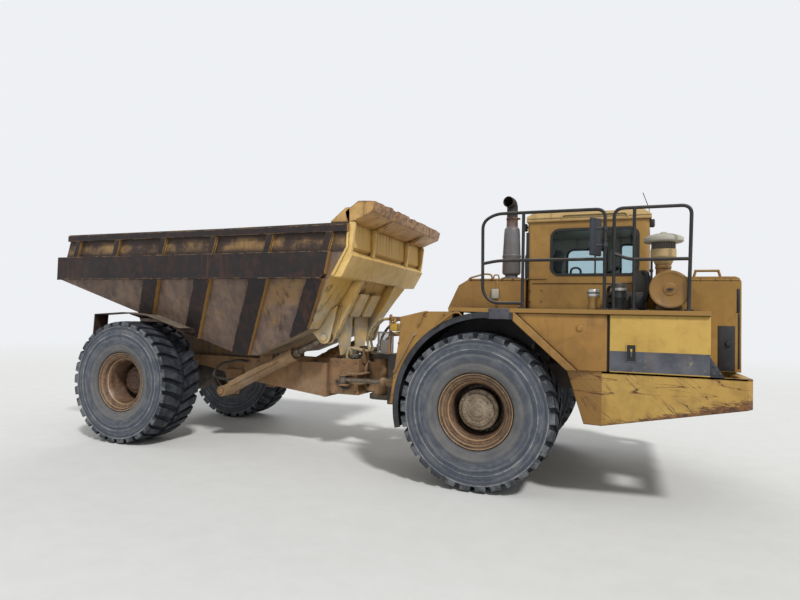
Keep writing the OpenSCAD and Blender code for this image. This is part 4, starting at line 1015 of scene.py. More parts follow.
def make_mirrors():
    case, face = Piece("mirror_cases", "mirror_back"), Piece("mirror_faces", "mirror_glass")
    half, pane, level = Vector((0.02, 0.092, 0.213)), Vector((0.002, 0.080, 0.200)), 2.995
    for side, post in ((-1, 1430), (1, 2050)):
        turn = Matrix.Rotation(side * math.radians(33), 3, "Z")
        middle = Vector((fx(post) - 0.1, side * post_y, level))
        case.block(middle - half, middle + half, 0.014, turn)
        back = middle + turn @ Vector((-0.0205, 0, 0))
        face.block(back - pane, back + pane, 0.0015, turn)
        for z in (2.90, 3.09):
            case.rod((fx(post) - 0.015, side * post_y, z), middle + Vector((0.012, 0, z - level)), 0.011)
            case.rod((fx(post), side * post_y, z - 0.02), (fx(post), side * post_y, z + 0.02), 0.027)
    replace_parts(case.done(), "mirrors")
    face.done()


def make_exhaust():
    x, y, foot, bolt_circle = fx(235), -0.75, 2.5903, 0.108
    muffler = Piece("exhaust_muffler", "exhaust_steel")
    muffler.turned([(0, 0), (0.13, 0), (0.13, 0.016), (0.084, 0.026), (0.082, 0.05), (0.113, 0.066),
                    (0.121, 0.085), (0.119, 0.285), (0.123, 0.292), (0.123, 0.312), (0.117, 0.32),
                    (0.105, 0.60), (0.101, 0.66), (0.092, 0.68), (0.076, 0.695), (0.074, 0.79),
                    (0.079, 0.795), (0.079, 0.82), (0.072, 0.825), (0, 0.825)], (x, y, foot), across=2)
    muffler.bolts([(x + bolt_circle * math.cos(a), y + bolt_circle * math.sin(a), foot + 0.016)
                   for a in circle(8)], (0, 0, 1), 0.009, 0.007)
    muffler.block((x + 0.076, y - 0.03, foot + 0.797), (x + 0.105, y + 0.03, foot + 0.818), 0.004)
    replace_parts(muffler.done(), "exhaust")
    elbow = Piece("exhaust_elbow", "sooty_steel")
    elbow.pipe([(x, y, foot + 0.81), (x, y, 3.604), (x - 0.03, y - 0.15, 3.604)], 0.0715, sides=40,
               round_by=0.115, steps=12, bore=0.064)
    elbow.done(50)


def make_air_cleaner():
    x, z = fx(2090), 2.411
    stack = Vector((x - 0.05, -1.33, 0))
    drum = Piece("air_cleaner_drum", "filter_paint")
    drum.turned([(0, -1.13), (0.168, -1.13), (0.185, -1.147), (0.185, -1.30), (0.191, -1.306),
                 (0.191, -1.324), (0.185, -1.33), (0.185, -1.515), (0.193, -1.522), (0.193, -1.545),
                 (0.185, -1.552), (0.185, -1.582), (0.203, -1.586), (0.207, -1.598), (0.203, -1.61),
                 (0.182, -1.612), (0.168, -1.603), (0.07, -1.6), (0.062, -1.608), (0, -1.61)], (x, 0, z),
                sides=72)
    for y in (-1.53, -1.24):
        drum.plate([(x - 0.14, deck_top), (x + 0.14, deck_top), (x + 0.13, deck_top + 0.02),
                    (x + 0.11, z - 0.12), (x - 0.11, z - 0.12), (x - 0.13, deck_top + 0.02)], 1, y, y + 0.04,
                   0.003)
        drum.bolts([(x + dx, y + 0.02, deck_top + 0.012) for dx in (-0.2, 0.2)], (0, 0, 1), 0.011)
        drum.block((x - 0.23, y, deck_top), (x + 0.23, y + 0.04, deck_top + 0.012), 0.002)
    drum.turned([(0, z + 0.15), (0.078, z + 0.15), (0.078, 2.655), (0.085, 2.66), (0.085, 2.684),
                 (0.079, 2.69), (0.098, 2.735), (0.134, 2.788), (0.134, 2.872), (0.126, 2.876), (0, 2.876)],
                stack, across=2)
    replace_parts(drum.done(), "air_cleaner")
    cap = Piece("air_cleaner_cap", "cream_plastic")
    cap.turned([(0, 2.952), (0.192, 2.952), (0.206, 2.962), (0.208, 2.995), (0.2, 3.006), (0.165, 3.026),
                (0.1, 3.046), (0.04, 3.056), (0.03, 3.07), (0, 3.07)], stack, across=2)
    cap.done(50)
    screen = Piece("air_cleaner_screen", "grey_steel")
    screen.turned([(0, 2.874), (0.112, 2.874), (0.112, 2.954), (0, 2.954)], stack, across=2)
    bar_circle = 0.119
    for a in circle(30):
        spot = Vector((stack.x + bar_circle * math.cos(a), stack.y + bar_circle * math.sin(a), 2.874))
        screen.rod(spot, spot + Vector((0, 0, 0.08)), 0.007, sides=6)
    screen.done()
    trim = Piece("air_cleaner_trim", "plain_plastic")
    trim.turned([(0, -1.069), (0.1, -1.069), (0.1, -1.08), (0.088, -1.085), (0.096, -1.095), (0.088, -1.105),
                 (0.096, -1.115), (0.1, -1.132), (0, -1.132)], (x, 0, z), sides=40)
    trim.rod((x, -1.607, z), (x, -1.628, z), 0.012)
    trim.block((x - 0.035, -1.63, z - 0.007), (x + 0.035, -1.618, z + 0.007), 0.003)
    for y in (-1.533, -1.312):
        trim.turned([(0.186, y - 0.012), (0.1945, y - 0.012), (0.1945, y + 0.012), (0.186, y + 0.012)],
                    (x, 0, z))
        trim.block((x - 0.02, y - 0.016, z - 0.215), (x + 0.02, y + 0.016, z - 0.19), 0.004)
    trim.done()


def make_beside_cab():
    """Jar, filler and hoses in front of the cab window."""
    dark = Piece("beside_cab_jar", "plain_plastic")
    dark.turned([(0, deck_top), (0.073, deck_top), (0.073, 2.31), (0.076, 2.315), (0.076, 2.33),
                 (0.073, 2.335), (0.073, 2.40), (0, 2.40)], (fx(1576), -1.46, 0), across=2, sides=40)
    for y, reach, height in ((-1.42, 1500, 2.27), (-1.36, 1490, 2.35), (-1.30, 1480, 2.44)):
        dark.pipe([(fx(1640), y, deck_top), (fx(1640), y, height), (fx(reach), y + 0.02, height + 0.02),
                   (fx(reach) - 0.02, -1.2, height), (fx(reach) - 0.02, -1.2, deck_top + 0.02)], 0.02,
                  round_by=0.07)
    dark.pipe([(fx(1860), -1.25, 2.3), (fx(1900), -1.27, 2.45), (fx(1880), -1.22, 2.62),
               (fx(1840), -1.12, 2.64)], 0.026, round_by=0.06)
    dark.block((fx(1700), -1.29, 2.20), (fx(1850), -1.23, 2.36), 0.01)
    dark.block((fx(1480), -1.28, 2.22), (fx(1600), -1.235, 2.38), 0.008)
    dark.done()
    bright = Piece("beside_cab_caps", "bright_cap")
    for x, y, low, radius in ((1576, -1.46, 2.398, 0.087), (1310, -1.5, 2.329, 0.071)):
        bright.turned([(0, low), (radius - 0.004, low), (radius, low + 0.006), (radius, low + 0.03),
                       (radius - 0.005, low + 0.034), (radius - 0.005, low + 0.07),
                       (radius - 0.014, low + 0.084), (0.02, low + 0.088), (0, low + 0.088)], (fx(x), y, 0),
                      across=2, sides=48)
    bright.done()
    neck = Piece("filler_neck", "filter_paint")
    neck.turned([(0, deck_top), (0.066, deck_top), (0.066, 2.21), (0.054, 2.24), (0.054, 2.29), (0.062, 2.31),
                 (0.066, 2.33), (0, 2.33)], (fx(1310), -1.5, 0), across=2, sides=40)
    neck.done()


make_handrails()
make_mirrors()
make_exhaust()
make_air_cleaner()
make_beside_cab()


# Cab

def window_surround(paint, rubber, a0, a1, b0, b1, across, face, inward, r=0.11):
    """Painted corner pieces and the black rubber round one window; face is the wall's outside."""
    def outline(inset, radius):
        return round_rect(a0 + inset, a1 - inset, b0 + inset, b1 - inset, radius)
    paint.ring_plate(outline(-0.003, 0.004), outline(0.008, r), across, face + inward * 0.05,
                     face - inward * 0.001)
    rubber.ring_plate(outline(0.004, r + 0.004), outline(0.036, r - 0.028), across, face + inward * 0.04,
                      face - inward * 0.007)


def make_cab():
    wall = 0.82
    paint, rubber = Piece("cab_window_corners", "cab_paint"), Piece("cab_window_rubber", "window_rubber")
    for window in (
            (fx(740), fx(1810), 2.62, 3.24, 1, -wall, 1), (fx(1570), fx(1810), 2.62, 3.24, 1, wall, -1, 0.06),
            (-0.64, 0.64, 2.68, 3.24, 0, fx(450), 1), (-0.72, 0.72, 2.62, 3.24, 0, fx(1920), -1)):
        window_surround(paint, rubber, *window)
    rubber.block((fx(1283), -0.802, 2.63), (fx(1303), -0.780, 3.23), 0.003)
    # Ledges, gutters and the bar at the rear edge
    for side in (-1, 1):
        for x0, x1, y0, y1, z0, z1 in (
                (530, 1925, 0.817, 0.834, 2.53, 2.543), (448, 700, 0.817, 0.834, 2.586, 2.598),
                (442, 1938, 0.826, 0.842, 3.323, 3.341), (442, 1938, 0.826, 0.842, 3.372, 3.380)):
            paint.block((fx(x0), side * y0, z0), (fx(x1), side * y1, z1))
    paint.pipe([(fx(876), -0.822, 3.352), (fx(900), -0.845, 3.408), (fx(1655), -0.845, 3.408),
                (fx(1682), -0.822, 3.335)], 0.011, round_by=0.03)
    paint.bolts([(fx(x), -wall, z) for x in (500, 640, 1870) for z in (2.02, 2.3, 2.44)], (0, -1, 0), 0.008)
    paint.done()
    rubber.block((fx(432), -0.81, 2.60), (fx(482), -0.77, 3.20), 0.008)
    rubber.pipe([(fx(1842), -0.7, 3.668), (fx(1917), -0.7, 3.46), (fx(1915), -0.7, 3.40)], 0.0045, sides=8)
    rubber.pipe([(fx(1926), 0.1, 2.58), (fx(1936), 0.12, 2.66), (fx(1936), 0.34, 3.0)], 0.008)
    rubber.rod((fx(1934), 0.2, 2.76), (fx(1934), 0.46, 3.18), 0.007)
    rubber.pipe([(fx(445), 0, 2.64), (fx(435), 0.02, 2.72), (fx(435), 0.2, 3.0)], 0.007)
    rubber.rod((fx(437), 0.06, 2.78), (fx(437), 0.32, 3.14), 0.006)
    rubber.done()
    paint = Piece("door_window_corners", "cab_paint", "door")
    rubber = Piece("door_window_rubber", "window_rubber", "door")
    window_surround(paint, rubber, fx(795), fx(1405), 2.56, 3.18, 1, wall, -1)
    paint.block((fx(840), 0.8195, 2.0), (fx(1370), 0.826, 2.36), 0.005)
    paint.done()
    rubber.pipe([(fx(1330), wall, 2.42), (fx(1330), 0.87, 2.44), (fx(1250), 0.87, 2.5),
                 (fx(1250), wall, 2.5)], 0.009, round_by=0.02)
    rubber.block((fx(740), 0.819, 2.395), (fx(860), 0.8235, 2.45), 0.002)
    rubber.done()


def cushion(name, middle, half, lean, channels):
    """A padded form: crowned, drawn in at the seam round its edge, with sewn channels across it."""
    piece = Piece(name, "seat_cloth")
    around, levels = 96, 32
    boxy, full, rise = 0.42, 0.55, 0.25
    channel_depth, channel_width, seam_draw, seam_width = 0.011, 0.010, 0.03, 0.008
    turn = Matrix.Rotation(lean, 3, "Y")

    def spread(value, power):
        return math.copysign(abs(value) ** power, value)

    def spot(u, v):
        flat = spread(math.cos(v), boxy)
        x, y = half[0] * flat * spread(math.cos(u), 0.36), half[1] * flat * spread(math.sin(u), 0.36)
        crown = 1 + rise * (1 - (x / half[0]) ** 2) * (1 - (y / half[1]) ** 2)
        z = half[2] * spread(math.sin(v), full) * crown
        dip = sum(channel_depth * math.exp(-((x - c) / channel_width) ** 2) for c in channels)
        seam = 1 - seam_draw * math.exp(-(z / seam_width) ** 2)
        return middle + turn @ Vector((x * seam, y * seam, z - math.copysign(min(dip, abs(z)), z)))
    piece.span([[piece.mesh.verts.new(spot(u, math.pi * j / levels - math.pi / 2))
                 for u in circle(around if 0 < j < levels else 1)] for j in range(levels + 1)])
    made = piece.done(80)


def make_cab_inside():
    floor = 1.9103
    plain = Piece("cab_console", "plain_plastic")
    plain.block((fx(760), -0.2, floor), (fx(1100), 0.2, 2.2), 0.02)
    plain.block((fx(710), -0.23, 2.2), (fx(1180), 0.23, 2.3), 0.02)
    plain.plate([(fx(1600), floor), (fx(1859), floor), (fx(1859), 2.53), (fx(1740), 2.53), (fx(1600), 2.38)],
                1, -0.75, 0.75, 0.015)
    plain.block((fx(900), -0.52, floor), (fx(1350), -0.32, 2.36), 0.02)
    plain.rod((fx(1640), 0, 2.45), (fx(1430), 0, 2.71), 0.03)
    middle, tilt = Vector((fx(1430), 0, 2.71)), Matrix.Rotation(math.radians(-35), 3, "Y")
    plain.turned([(0.19 + 0.015 * math.cos(a), 0.015 * math.sin(a)) for a in circle(10)], middle, across=2,
                 turn=tilt)
    plain.turned([(0, -0.02), (0.045, -0.02), (0.045, 0.012), (0, 0.012)], middle, across=2, turn=tilt,
                 sides=24)
    for a in (0.5, 2.6, 4.71):
        plain.rod(middle, middle + tilt @ Vector((0.19 * math.cos(a), 0.19 * math.sin(a), 0)), 0.012)
    for x, y in ((1240, -0.42), (1300, -0.38), (1180, -0.45)):
        plain.pipe([(fx(x), y, 2.35), (fx(x + 10), y, 2.47), (fx(x + 25), y - 0.01, 2.52)], 0.008)
        plain.turned([(0, -0.025), (0.016, -0.018), (0.022, 0), (0.016, 0.018), (0, 0.025)],
                     (fx(x + 28), y - 0.01, 2.535), across=2, sides=20)
    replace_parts(plain.done(), "cab_inside")
    cushion("seat_cushion", Vector((fx(950), 0, 2.36)), (0.25, 0.25, 0.065), 0.04, (-0.09, 0.05))
    cushion("seat_back", Vector((fx(720), 0, 2.73)), (0.33, 0.24, 0.06), math.radians(-78),
            (-0.1, 0.02, 0.14))


make_cab()
make_cab_inside()


# Lamps

def make_lamps():
    case = Piece("lamp_cases", "plain_plastic")
    lens = Piece("lamp_lenses", "clear_lens")
    amber = Piece("indicator_lenses", "amber_lens")
    for side in (-1, 1):
        y = side * 0.71
        for face, toward in ((fx(372), -1), (fx(1978), 1)):
            back = face - toward * 0.06
            wall = fx(450) if toward < 0 else fx(1920)
            case.block((back, y - 0.05, 3.233), (face, y + 0.05, 3.326), 0.012)
            case.block((min(wall, back) - 0.001, y - 0.014, 3.27), (max(wall, back) + 0.001, y + 0.014, 3.29),
                       0.003)
            lens.block((face - 0.004, y - 0.04, 3.243), (face + 0.004, y + 0.04, 3.316), 0.003)
        x, middle, z = fx(2850), side * 1.13, 1.355
        case.ring_plate(round_rect(middle - 0.1297, middle + 0.1297, z - 0.0647, z + 0.0647, 0.012),
                        round_rect(middle - 0.118, middle + 0.118, z - 0.053, z + 0.053, 0.02), 0, x - 0.05,
                        x + 0.002)
        case.block((x - 0.08, middle - 0.125, z - 0.06), (x - 0.04, middle + 0.125, z + 0.06), 0.004)
        radius = 0.047
        for offset in (-0.06, 0.035):
            spot = (x - 0.04, middle + side * offset, z)
            lens.turned([(0, 0), (radius, 0), (radius, 0.012), (radius * 0.7, 0.024), (0, 0.03)], spot,
                        across=0, sides=40)
            case.turned([(radius, 0), (radius + 0.007, 0), (radius + 0.007, 0.02), (radius, 0.02)], spot,
                        across=0, sides=40)
        amber.block((x - 0.04, side * 1.218, z - 0.05), (x - 0.012, side * 1.247, z + 0.05), 0.006)
    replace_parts(case.done(), "lamps")
    lens.done()
    amber.done()
    x = rx(-830)
    for side, y in (("right", -0.45), ("left", 0.45)):
        box = Piece("tail_lamp_case_" + side, "plain_plastic", "rear")
        box.block((x - 0.05, y - 0.09, 1.19), (x + 0.001, y + 0.09, 1.27), 0.008)
        box.done()
        red = Piece("tail_lamp_lens_" + side, "red_lens", "rear")
        red.block((x - 0.056, y - 0.08, 1.2), (x - 0.048, y + 0.08, 1.26), 0.003)
        red.done()


make_lamps()


# Boxes, deck and fenders

def make_boxes():
    foot, box_top = 1.4953, 2.1297
    tank = Piece("fuel_tanks", "tank_paint")
    tool = Piece("tool_boxes", "tool_box_paint")
    seam = Piece("box_gap_shade", "window_rubber")
    trim = Piece("box_corner_plates", "dark_stripe")
    for side, top, back in ((-1, box_top, 451), (1, 1.8497, 760)):
        lo, hi = side * 1.1, side * 1.66
        tank.plate([(fx(1150.6), foot), (fx(1465), foot), (fx(1465), top), (fx(back), top)], 1, lo, hi, 0.014)
        tool.block((fx(1490), lo, foot), (fx(2475), hi, box_top), 0.011)
        # Black filler in the gap between the tank and the tool box: painted shade
        seam.block((fx(1462), side * 1.2, foot), (fx(1493), side * 1.635, top), 0.002)
        trim.plate([(fx(2474), foot), (fx(2600), foot), (fx(2475), 1.7)], 1, side * 1.64, side * 1.6605,
                   0.003)
        # Latch in its pocket; the black sheet behind it is painted shade for the pocket's depth
        tool.ring_plate(round_rect(fx(1657), fx(1763), 1.615, 1.81, 0.014),
                        round_rect(fx(1667), fx(1753), 1.625, 1.80, 0.008), 1, side * 1.659, side * 1.667)
        seam.block((fx(1666), side * 1.659, 1.624), (fx(1754), side * 1.662, 1.801), 0.0)
        tool.block((fx(1700), side * 1.661, 1.67), (fx(1722), side * 1.675, 1.76), 0.004)
    trim.bolts([(fx(x), -1.6605, z) for x, z in ((2500, 1.53), (2560, 1.53), (2500, 1.61))], (0, -1, 0),
               0.009)
    tank.turned([(0, 0), (0.034, 0), (0.034, 0.012), (0.026, 0.018), (0, 0.018)], (fx(1174), -1.66, 1.968),
                side=-1, sides=32)
    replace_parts(tank.done(), "side_boxes")
    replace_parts(tool.done(), "side_boxes")
    seam.done()
    trim.done()


def make_fender_parts():
    rails = Piece("fender_grab_rails", "fender_paint")
    bright = Piece("fender_handle", "cylinder_paint")
    for side in (-1, 1):
        y, out = side * 1.691, side * 1.722
        rails.pipe([(fx(-727), y, 1.936), (fx(-715), out, 1.97), (fx(-661), out, 2.118),
                    (fx(-616), y, 2.124)], 0.011, round_by=0.04)
        rails.pipe([(fx(-507), y, 1.942), (fx(-495), out, 1.955), (fx(-275), out, 2.118),
                    (fx(-207), out, 2.118), (fx(-183), y, 2.085)], 0.011, round_by=0.04)
        bright.pipe([(fx(-1028), y, 1.363), (fx(-1024), out, 1.372), (fx(-790), out, 1.828),
                     (fx(-784), y, 1.838)], 0.012, round_by=0.03)
        for x, z in ((-1028, 1.363), (-784, 1.838)):
            bright.rod((fx(x), side * 1.6895, z), (fx(x), side * 1.698, z), 0.026)
        rails.bolts([(fx(x), side * 1.69, z) for x, z in (
            (-960, 1.95), (-985, 1.72), (-1040, 1.3), (-1066, 1.08), (-640, 2.07), (-400, 2.09))],
            (0, side, 0), 0.010)
    rails.done()
    bright.done()
    skirt = Piece("fender_skirts", "arch_rubber")
    for side in (-1, 1):
        skirt.block((fx(147), side * 1.6895, 2.05), (fx(390), side * 1.699, 2.176), 0.003)
        skirt.bolts([(fx(x), side * 1.699, 2.155) for x in (175, 265, 360)], (0, side, 0), 0.008, 0.005)
    # Flat wall of each wheel arch, between the tyre and the frame
    middle, count = (fx(130), 0.9497), 48
    for side in (-1, 1):
        for inner, outer, near, far in ((0.68, 1.179, 0.942, 0.954), (1.165, 1.179, 0.9535, 1.012)):
            arc = [math.radians(62 + 131 * i / count) for i in range(count + 1)]
            outline = [(middle[0] + r * math.cos(a), middle[1] + r * math.sin(a))
                       for r, line in ((outer, arc), (inner, arc[::-1])) for a in line]
            total, faces = len(outline), []
            for i in range(count):
                quad = (i, i + 1, total - 2 - i, total - 1 - i)
                faces += [quad, tuple(total + k for k in reversed(quad))]
            faces += [(i, (i + 1) % total, total + (i + 1) % total, total + i) for i in range(total)]
            levels = sorted((side * near, side * far))
            skirt.add([placed(p, 1, level) for level in levels for p in outline], faces)
    skirt.done()
    cover = Piece("rear_cover_trim", "fender_paint")
    for side in (-1, 1):
        cover.block((fx(-300), side * 0.8805, 2.565), (fx(440), side * 0.888, 2.59), 0.004)
        cover.block((fx(60), side * 0.8805, 2.19), (fx(85), side * 0.888, 2.565), 0.004)
        for radius, bend, points in (
                (0.012, 0.03, ((-330, 2.55), (-305, 2.60), (-100, 2.655), (-10, 2.645), (5, 2.588))),
                (0.009, 0.02, ((20, 2.588), (28, 2.64), (85, 2.64), (95, 2.588)))):
            cover.pipe([(fx(x), side * 0.86, z) for x, z in points], radius, round_by=bend)
        cover.bolts([(fx(x), side * 0.888, 2.577) for x in range(-280, 440, 140)], (0, side, 0), 0.008)
    cover.done()
    lamp = Piece("rear_cover_lamp_box", "cream_plastic")
    lamp.block((fx(5), -0.918, 2.32), (fx(101), -0.8795, 2.452), 0.012)
    lamp.done()


make_boxes()
make_fender_parts()


# Bumper and hood

def make_bumper():
    """Folded skirt: its sides turn in behind, and its lower edge climbs to the front."""
    top, wall = 1.495, 0.016
    path = [(1030, 1.568), (1225, 1.614), (1415, 1.66), (2200, 1.66), (2810, 1.66), (2860, 1.61)]

    def low(x):
        """The lower edge's height at that many millimetres ahead of the axle."""
        return top - (x - 1030) * 0.595 / 195 if x < 1225 else 0.9 + max(0.0, x - 1400) * 0.29 / 1460
    piece = Piece("bumper_skirt", "bumper_paint")
    for side in (-1, 1):
        corners, faces = [], []
        for x, y in path:
            inset = wall if x > 1100 else wall * 0.9
            for depth in (0, inset):
                across = side * (y - depth)
                along = fx(x) - (depth if x > 2840 else 0)
                corners += [(along, across, low(x)), (along, across, top)]
        for i in range(len(path) - 1):
            a, b = 4 * i, 4 * i + 4
            faces += [(a, b, b + 1, a + 1), (a + 2, a + 3, b + 3, b + 2), (a, a + 2, b + 2, b),
                      (a + 1, b + 1, b + 3, a + 3)]
        last = 4 * (len(path) - 1)
        faces += [(0, 1, 3, 2), (last, last + 2, last + 3, last + 1)]
        piece.add(corners, faces)
        outline = [(fx(1030), 1.568), (fx(1415), 1.66), (fx(2810), 1.66), (fx(2860), 1.61)]
        inner = [(fx(1035), 1.47), (fx(1415), 1.56), (fx(2760), 1.56), (fx(2762), 1.55)]
        for k in range(3):
            quad = [outline[k], outline[k + 1], inner[k + 1], inner[k]]
            piece.plate([(x, side * y) for x, y in quad], 2, top - wall, top)
        # Front wall, open where a lamp sits
        for y0, y1, z0, z1 in ((1.26, 1.61, 1.19, top), (1.0, 1.26, 1.42, top), (1.0, 1.26, 1.19, 1.29)):
            piece.block((fx(2844), side * y0, z0), (fx(2860), side * y1, z1), 0.0)
        eye = [(2780 + 55 * math.cos(t), 1.11 + 0.055 * math.sin(t)) for t in
               (math.radians(200 + 140 * i / 10) for i in range(11))]
        outer = [(2844, 1.21), (2844, top - wall), (2665, top - wall), (2700, 1.30), *eye]
        piece.plate([(fx(x), z) for x, z in outer], 1, side * 0.35, side * 0.39, 0.003)
        piece.turned([(0.032, 0), (0.056, 0), (0.056, 0.05), (0.032, 0.05)], (fx(2780), side * 0.345, 1.11),
                     side=side, sides=40)
        piece.block((fx(2765), side * 0.94, 1.47), (fx(2815), side * 0.97, 1.63), 0.004)
        piece.rod((fx(2790), side * 0.898, 1.605), (fx(2790), side * 0.945, 1.605), 0.02)
        piece.bolts([(fx(x), side * 1.61, top) for x in (1500, 1800, 2100, 2400, 2700)], (0, 0, 1), 0.011,
                    0.007)
    piece.block((fx(2844), -1.0, 1.19), (fx(2860), 1.0, top), 0.0)
    piece.block((fx(2762), -1.55, top - wall), (fx(2846), 1.55, top), 0.0)
    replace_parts(piece.done(), "bumper")


def make_hood_parts():
    dark = Piece("hood_side_panels", "plain_plastic", "hood")
    paint = Piece("hood_trim", "hood_paint", "hood")
    for side in (-1, 1):
        y0, y1 = side * 1.0595, side * 1.067
        for x0, x1, z0, z1 in ((2620, 2787, 1.53, 2.033), (2805, 2834, 2.18, 2.45)):
            dark.block((fx(x0), y0, z0), (fx(x1), y1, z1), 0.004)
        dark.turned([(0, 0), (0.03, 0), (0.03, 0.02), (0.022, 0.028), (0, 0.028)],
                    (fx(2719), side * 1.066, 1.833), side=side, sides=28)
        dark.block((fx(2818), y0, 1.56), (fx(2835), y1, 2.17), 0.003)
        paint.block((fx(1975), y0, 1.522), (fx(2610), y1, 1.545), 0.003)
        paint.block((fx(1975), y0, 2.545), (fx(2835), y1, 2.56), 0.003)
        paint.bolts([(fx(2000 + 150 * k), side * 1.0665, 2.552) for k in range(6)], (0, side, 0), 0.007,
                    0.005)
    outer = round_rect(-0.86, 0.86, 1.60, 2.52, 0.04)
    paint.ring_plate(outer, round_rect(-0.805, 0.805, 1.648, 2.472, 0.03), 0, fx(2848), fx(2857))
    paint.bolts([(fx(2857), y, z) for y in (-0.83, -0.42, 0, 0.42, 0.83) for z in (1.624, 2.496)], (1, 0, 0),
                0.007, 0.002)
    paint.done()
    dark.done()
    slats = Piece("grille_slats", "plain_plastic", "hood")
    slats.grow(row_of, box_corners((fx(2826), -0.799, 1.672), (fx(2840), 0.799, 1.682)), box_faces, Count=30,
               Step=(0, 0, 0.026))
    slats.done()


make_bumper()
make_hood_parts()


# Dump body

def share(value, start, length):
    """How far a value is along a stretch: 0 before it, 1 past it."""
    return min(1.0, max(0.0, (value - start) / length))


def make_canopy():
    """The bent lip over the front wall, dented and torn along its edges."""
    piece = Piece("canopy_lip", "canopy_paint", "body")
    foot = 3.3303
    profile = [(3744, foot), (3722, 3.40), (3700, 3.47), (3765, 3.522), (3832, 3.572), (3900, 3.62),
               (3990, 3.616), (4080, 3.611), (4170, 3.605), (4150, 3.53), (4125, 3.46), (4030, 3.421),
               (3935, 3.384), (3840, 3.344), (3790, foot)]
    stations, width, rows = 145, 2.88, []
    for i in range(stations):
        y = -1.44 + width * i / (stations - 1)
        row = []
        for x, z in profile:
            spot = Vector((rx(x), y, z))
            free = share(z, 3.36, 0.2)
            edge = share(x, 3860, 240)
            broad = noise.noise(Vector((x / 900, y * 1.7, z * 2)))
            fine = noise.noise(Vector((x / 260, y * 7, z * 5 + 9)))
            torn = max(0.0, noise.noise(Vector((3.1, y * 4.2, 0.3))) - 0.12)
            spot.x += free * (0.022 * broad + 0.008 * fine) - edge * 0.09 * torn - edge * 0.012
            spot.z += -free * abs(0.028 * broad + 0.010 * fine) - edge * 0.05 * torn
            row.append(piece.mesh.verts.new(spot))
        rows.append(row)
    piece.span(rows)
    piece.mesh.faces.new(rows[0])
    piece.mesh.faces.new(rows[-1][::-1])
    for side in (-1, 1):
        piece.plate([(rx(3480), 3.3503), (rx(3700), 3.53), (rx(3765), 3.53), (rx(3765), foot),
                     (rx(3480), foot)], 1, side * 1.42, side * 1.44, 0.004)
    for y in (-0.685, 0.685):
        piece.plate([(rx(3785), foot + 0.002), (rx(3836), foot + 0.006), (rx(4095), 3.44), (rx(4060), 3.40),
                     (rx(3850), foot - 0.06), (rx(3786), foot - 0.10)], 1, y - 0.012, y + 0.012, 0.003)
    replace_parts(piece.done(24), "canopy")


def make_body_trim():
    front = Piece("front_wall_trim", "front_wall_paint", "body")
    dark = Piece("body_edge_bars", "body_rail_steel", "body")
    side_steel = Piece("body_side_welds", "body_panel_steel", "body")
    for side in (-1, 1):
        # Front edge of the side wall and the top edge bar
        front.plate([(rx(3500), 2.60), (rx(3560), 2.60), (rx(3764), 2.98), (rx(3764), 3.2), (rx(3735), 3.2),
                     (rx(3735), 2.99)], 1, side * 1.4405, side * 1.462, 0.004)
        dark.pipe([(rx(-1490), side * 1.47, 3.292), (rx(3760), side * 1.47, 3.292)], 0.017, sides=10)
        dark.pipe([(rx(-1695), side * 1.5165, 2.562), (rx(3350), side * 1.5165, 2.562)], 0.012, sides=8)
        for x in (-1330, -460, 490, 1460, 2460, 3420):
            for foot in (x - 52, x + 52):
                side_steel.pipe([(rx(foot), side * 1.441, 2.935), (rx(foot + 70), side * 1.441, 3.19)], 0.006,
                                sides=6)
    front.done()
    dark.done()
    side_steel.done()


make_canopy()
make_body_trim()


# Cylinders, hoses and the rear frame

hoist_foot = Vector((rx(1254), 0, 0.8))
hoist_offset = 0.78
hoist_way = (Vector((rx(3104), 0, 1.725)) - hoist_foot).normalized()


def on_hoist(side, far, out=0.0, up=0.0):
    """A point by a hoist cylinder: metres from its lower pin, outward and up from its axis."""
    lift = Vector((-hoist_way.z, 0, hoist_way.x))
    return hoist_foot + hoist_way * far + lift * up + Vector((0, side * (hoist_offset + out), 0))


def hose(name, finish, points, radius, bend):
    """A hose from the first point to the last, its ends at two bodies; the hose itself is attached to no
    body.
    """
    piece = Piece(name, finish, None)
    piece.pipe(points, radius, round_by=bend, steps=8)
    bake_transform(piece.done())


def make_hoist_parts():
    piece = Piece("hoist_collars", "cylinder_paint", "hoist_barrels")
    pipes = Piece("hoist_pipes", "cylinder_paint", "hoist_barrels")
    turn = hoist_way.to_track_quat("Z", "Y").to_matrix()
    clamp_half = Vector((0.018, 0.015, 0.018))
    for side in (-1, 1):
        foot = hoist_foot + Vector((0, side * hoist_offset, 0))
        piece.turned([(0.0805, 0.17), (0.09, 0.17), (0.097, 0.18), (0.097, 1.20), (0.108, 1.208),
                      (0.108, 1.29), (0.1, 1.30), (0.1, 1.42), (0.108, 1.43), (0.108, 1.455),
                      (0.0805, 1.458)], foot, across=2, turn=turn)
        for far in (0.36, 0.72, 1.06):
            piece.turned([(0.096, far), (0.102, far), (0.102, far + 0.035), (0.096, far + 0.035)], foot,
                         across=2, turn=turn, sides=48)
            clamp = on_hoist(side, far + 0.017) + Vector((0, side * 0.104, 0))
            piece.block(clamp - clamp_half, clamp + clamp_half, 0.003)
        pipes.pipe([on_hoist(side, 0.22, 0.09), on_hoist(side, 0.25, 0.107), on_hoist(side, 1.17, 0.107),
                    on_hoist(side, 1.22, 0.1, 0.03)], 0.011, round_by=0.04)
    piece.done()
    pipes.done()
    for side, name in ((-1, "right"), (1, "left")):
        start = Vector((rx(1517), side * 0.53, 1.27))
        end = on_hoist(side, 0.26, 0.02, 0.095)
        hose(f"hoist_hose_{name}", "hose_rubber",
             [start, start + Vector((-0.08, side * 0.12, 0.03)), Vector((rx(1080), side * 0.70, 1.22)),
              Vector((rx(1000), side * 0.79, 1.02)), end + Vector((-0.16, 0, -0.02)), end],
             0.02, 0.16)


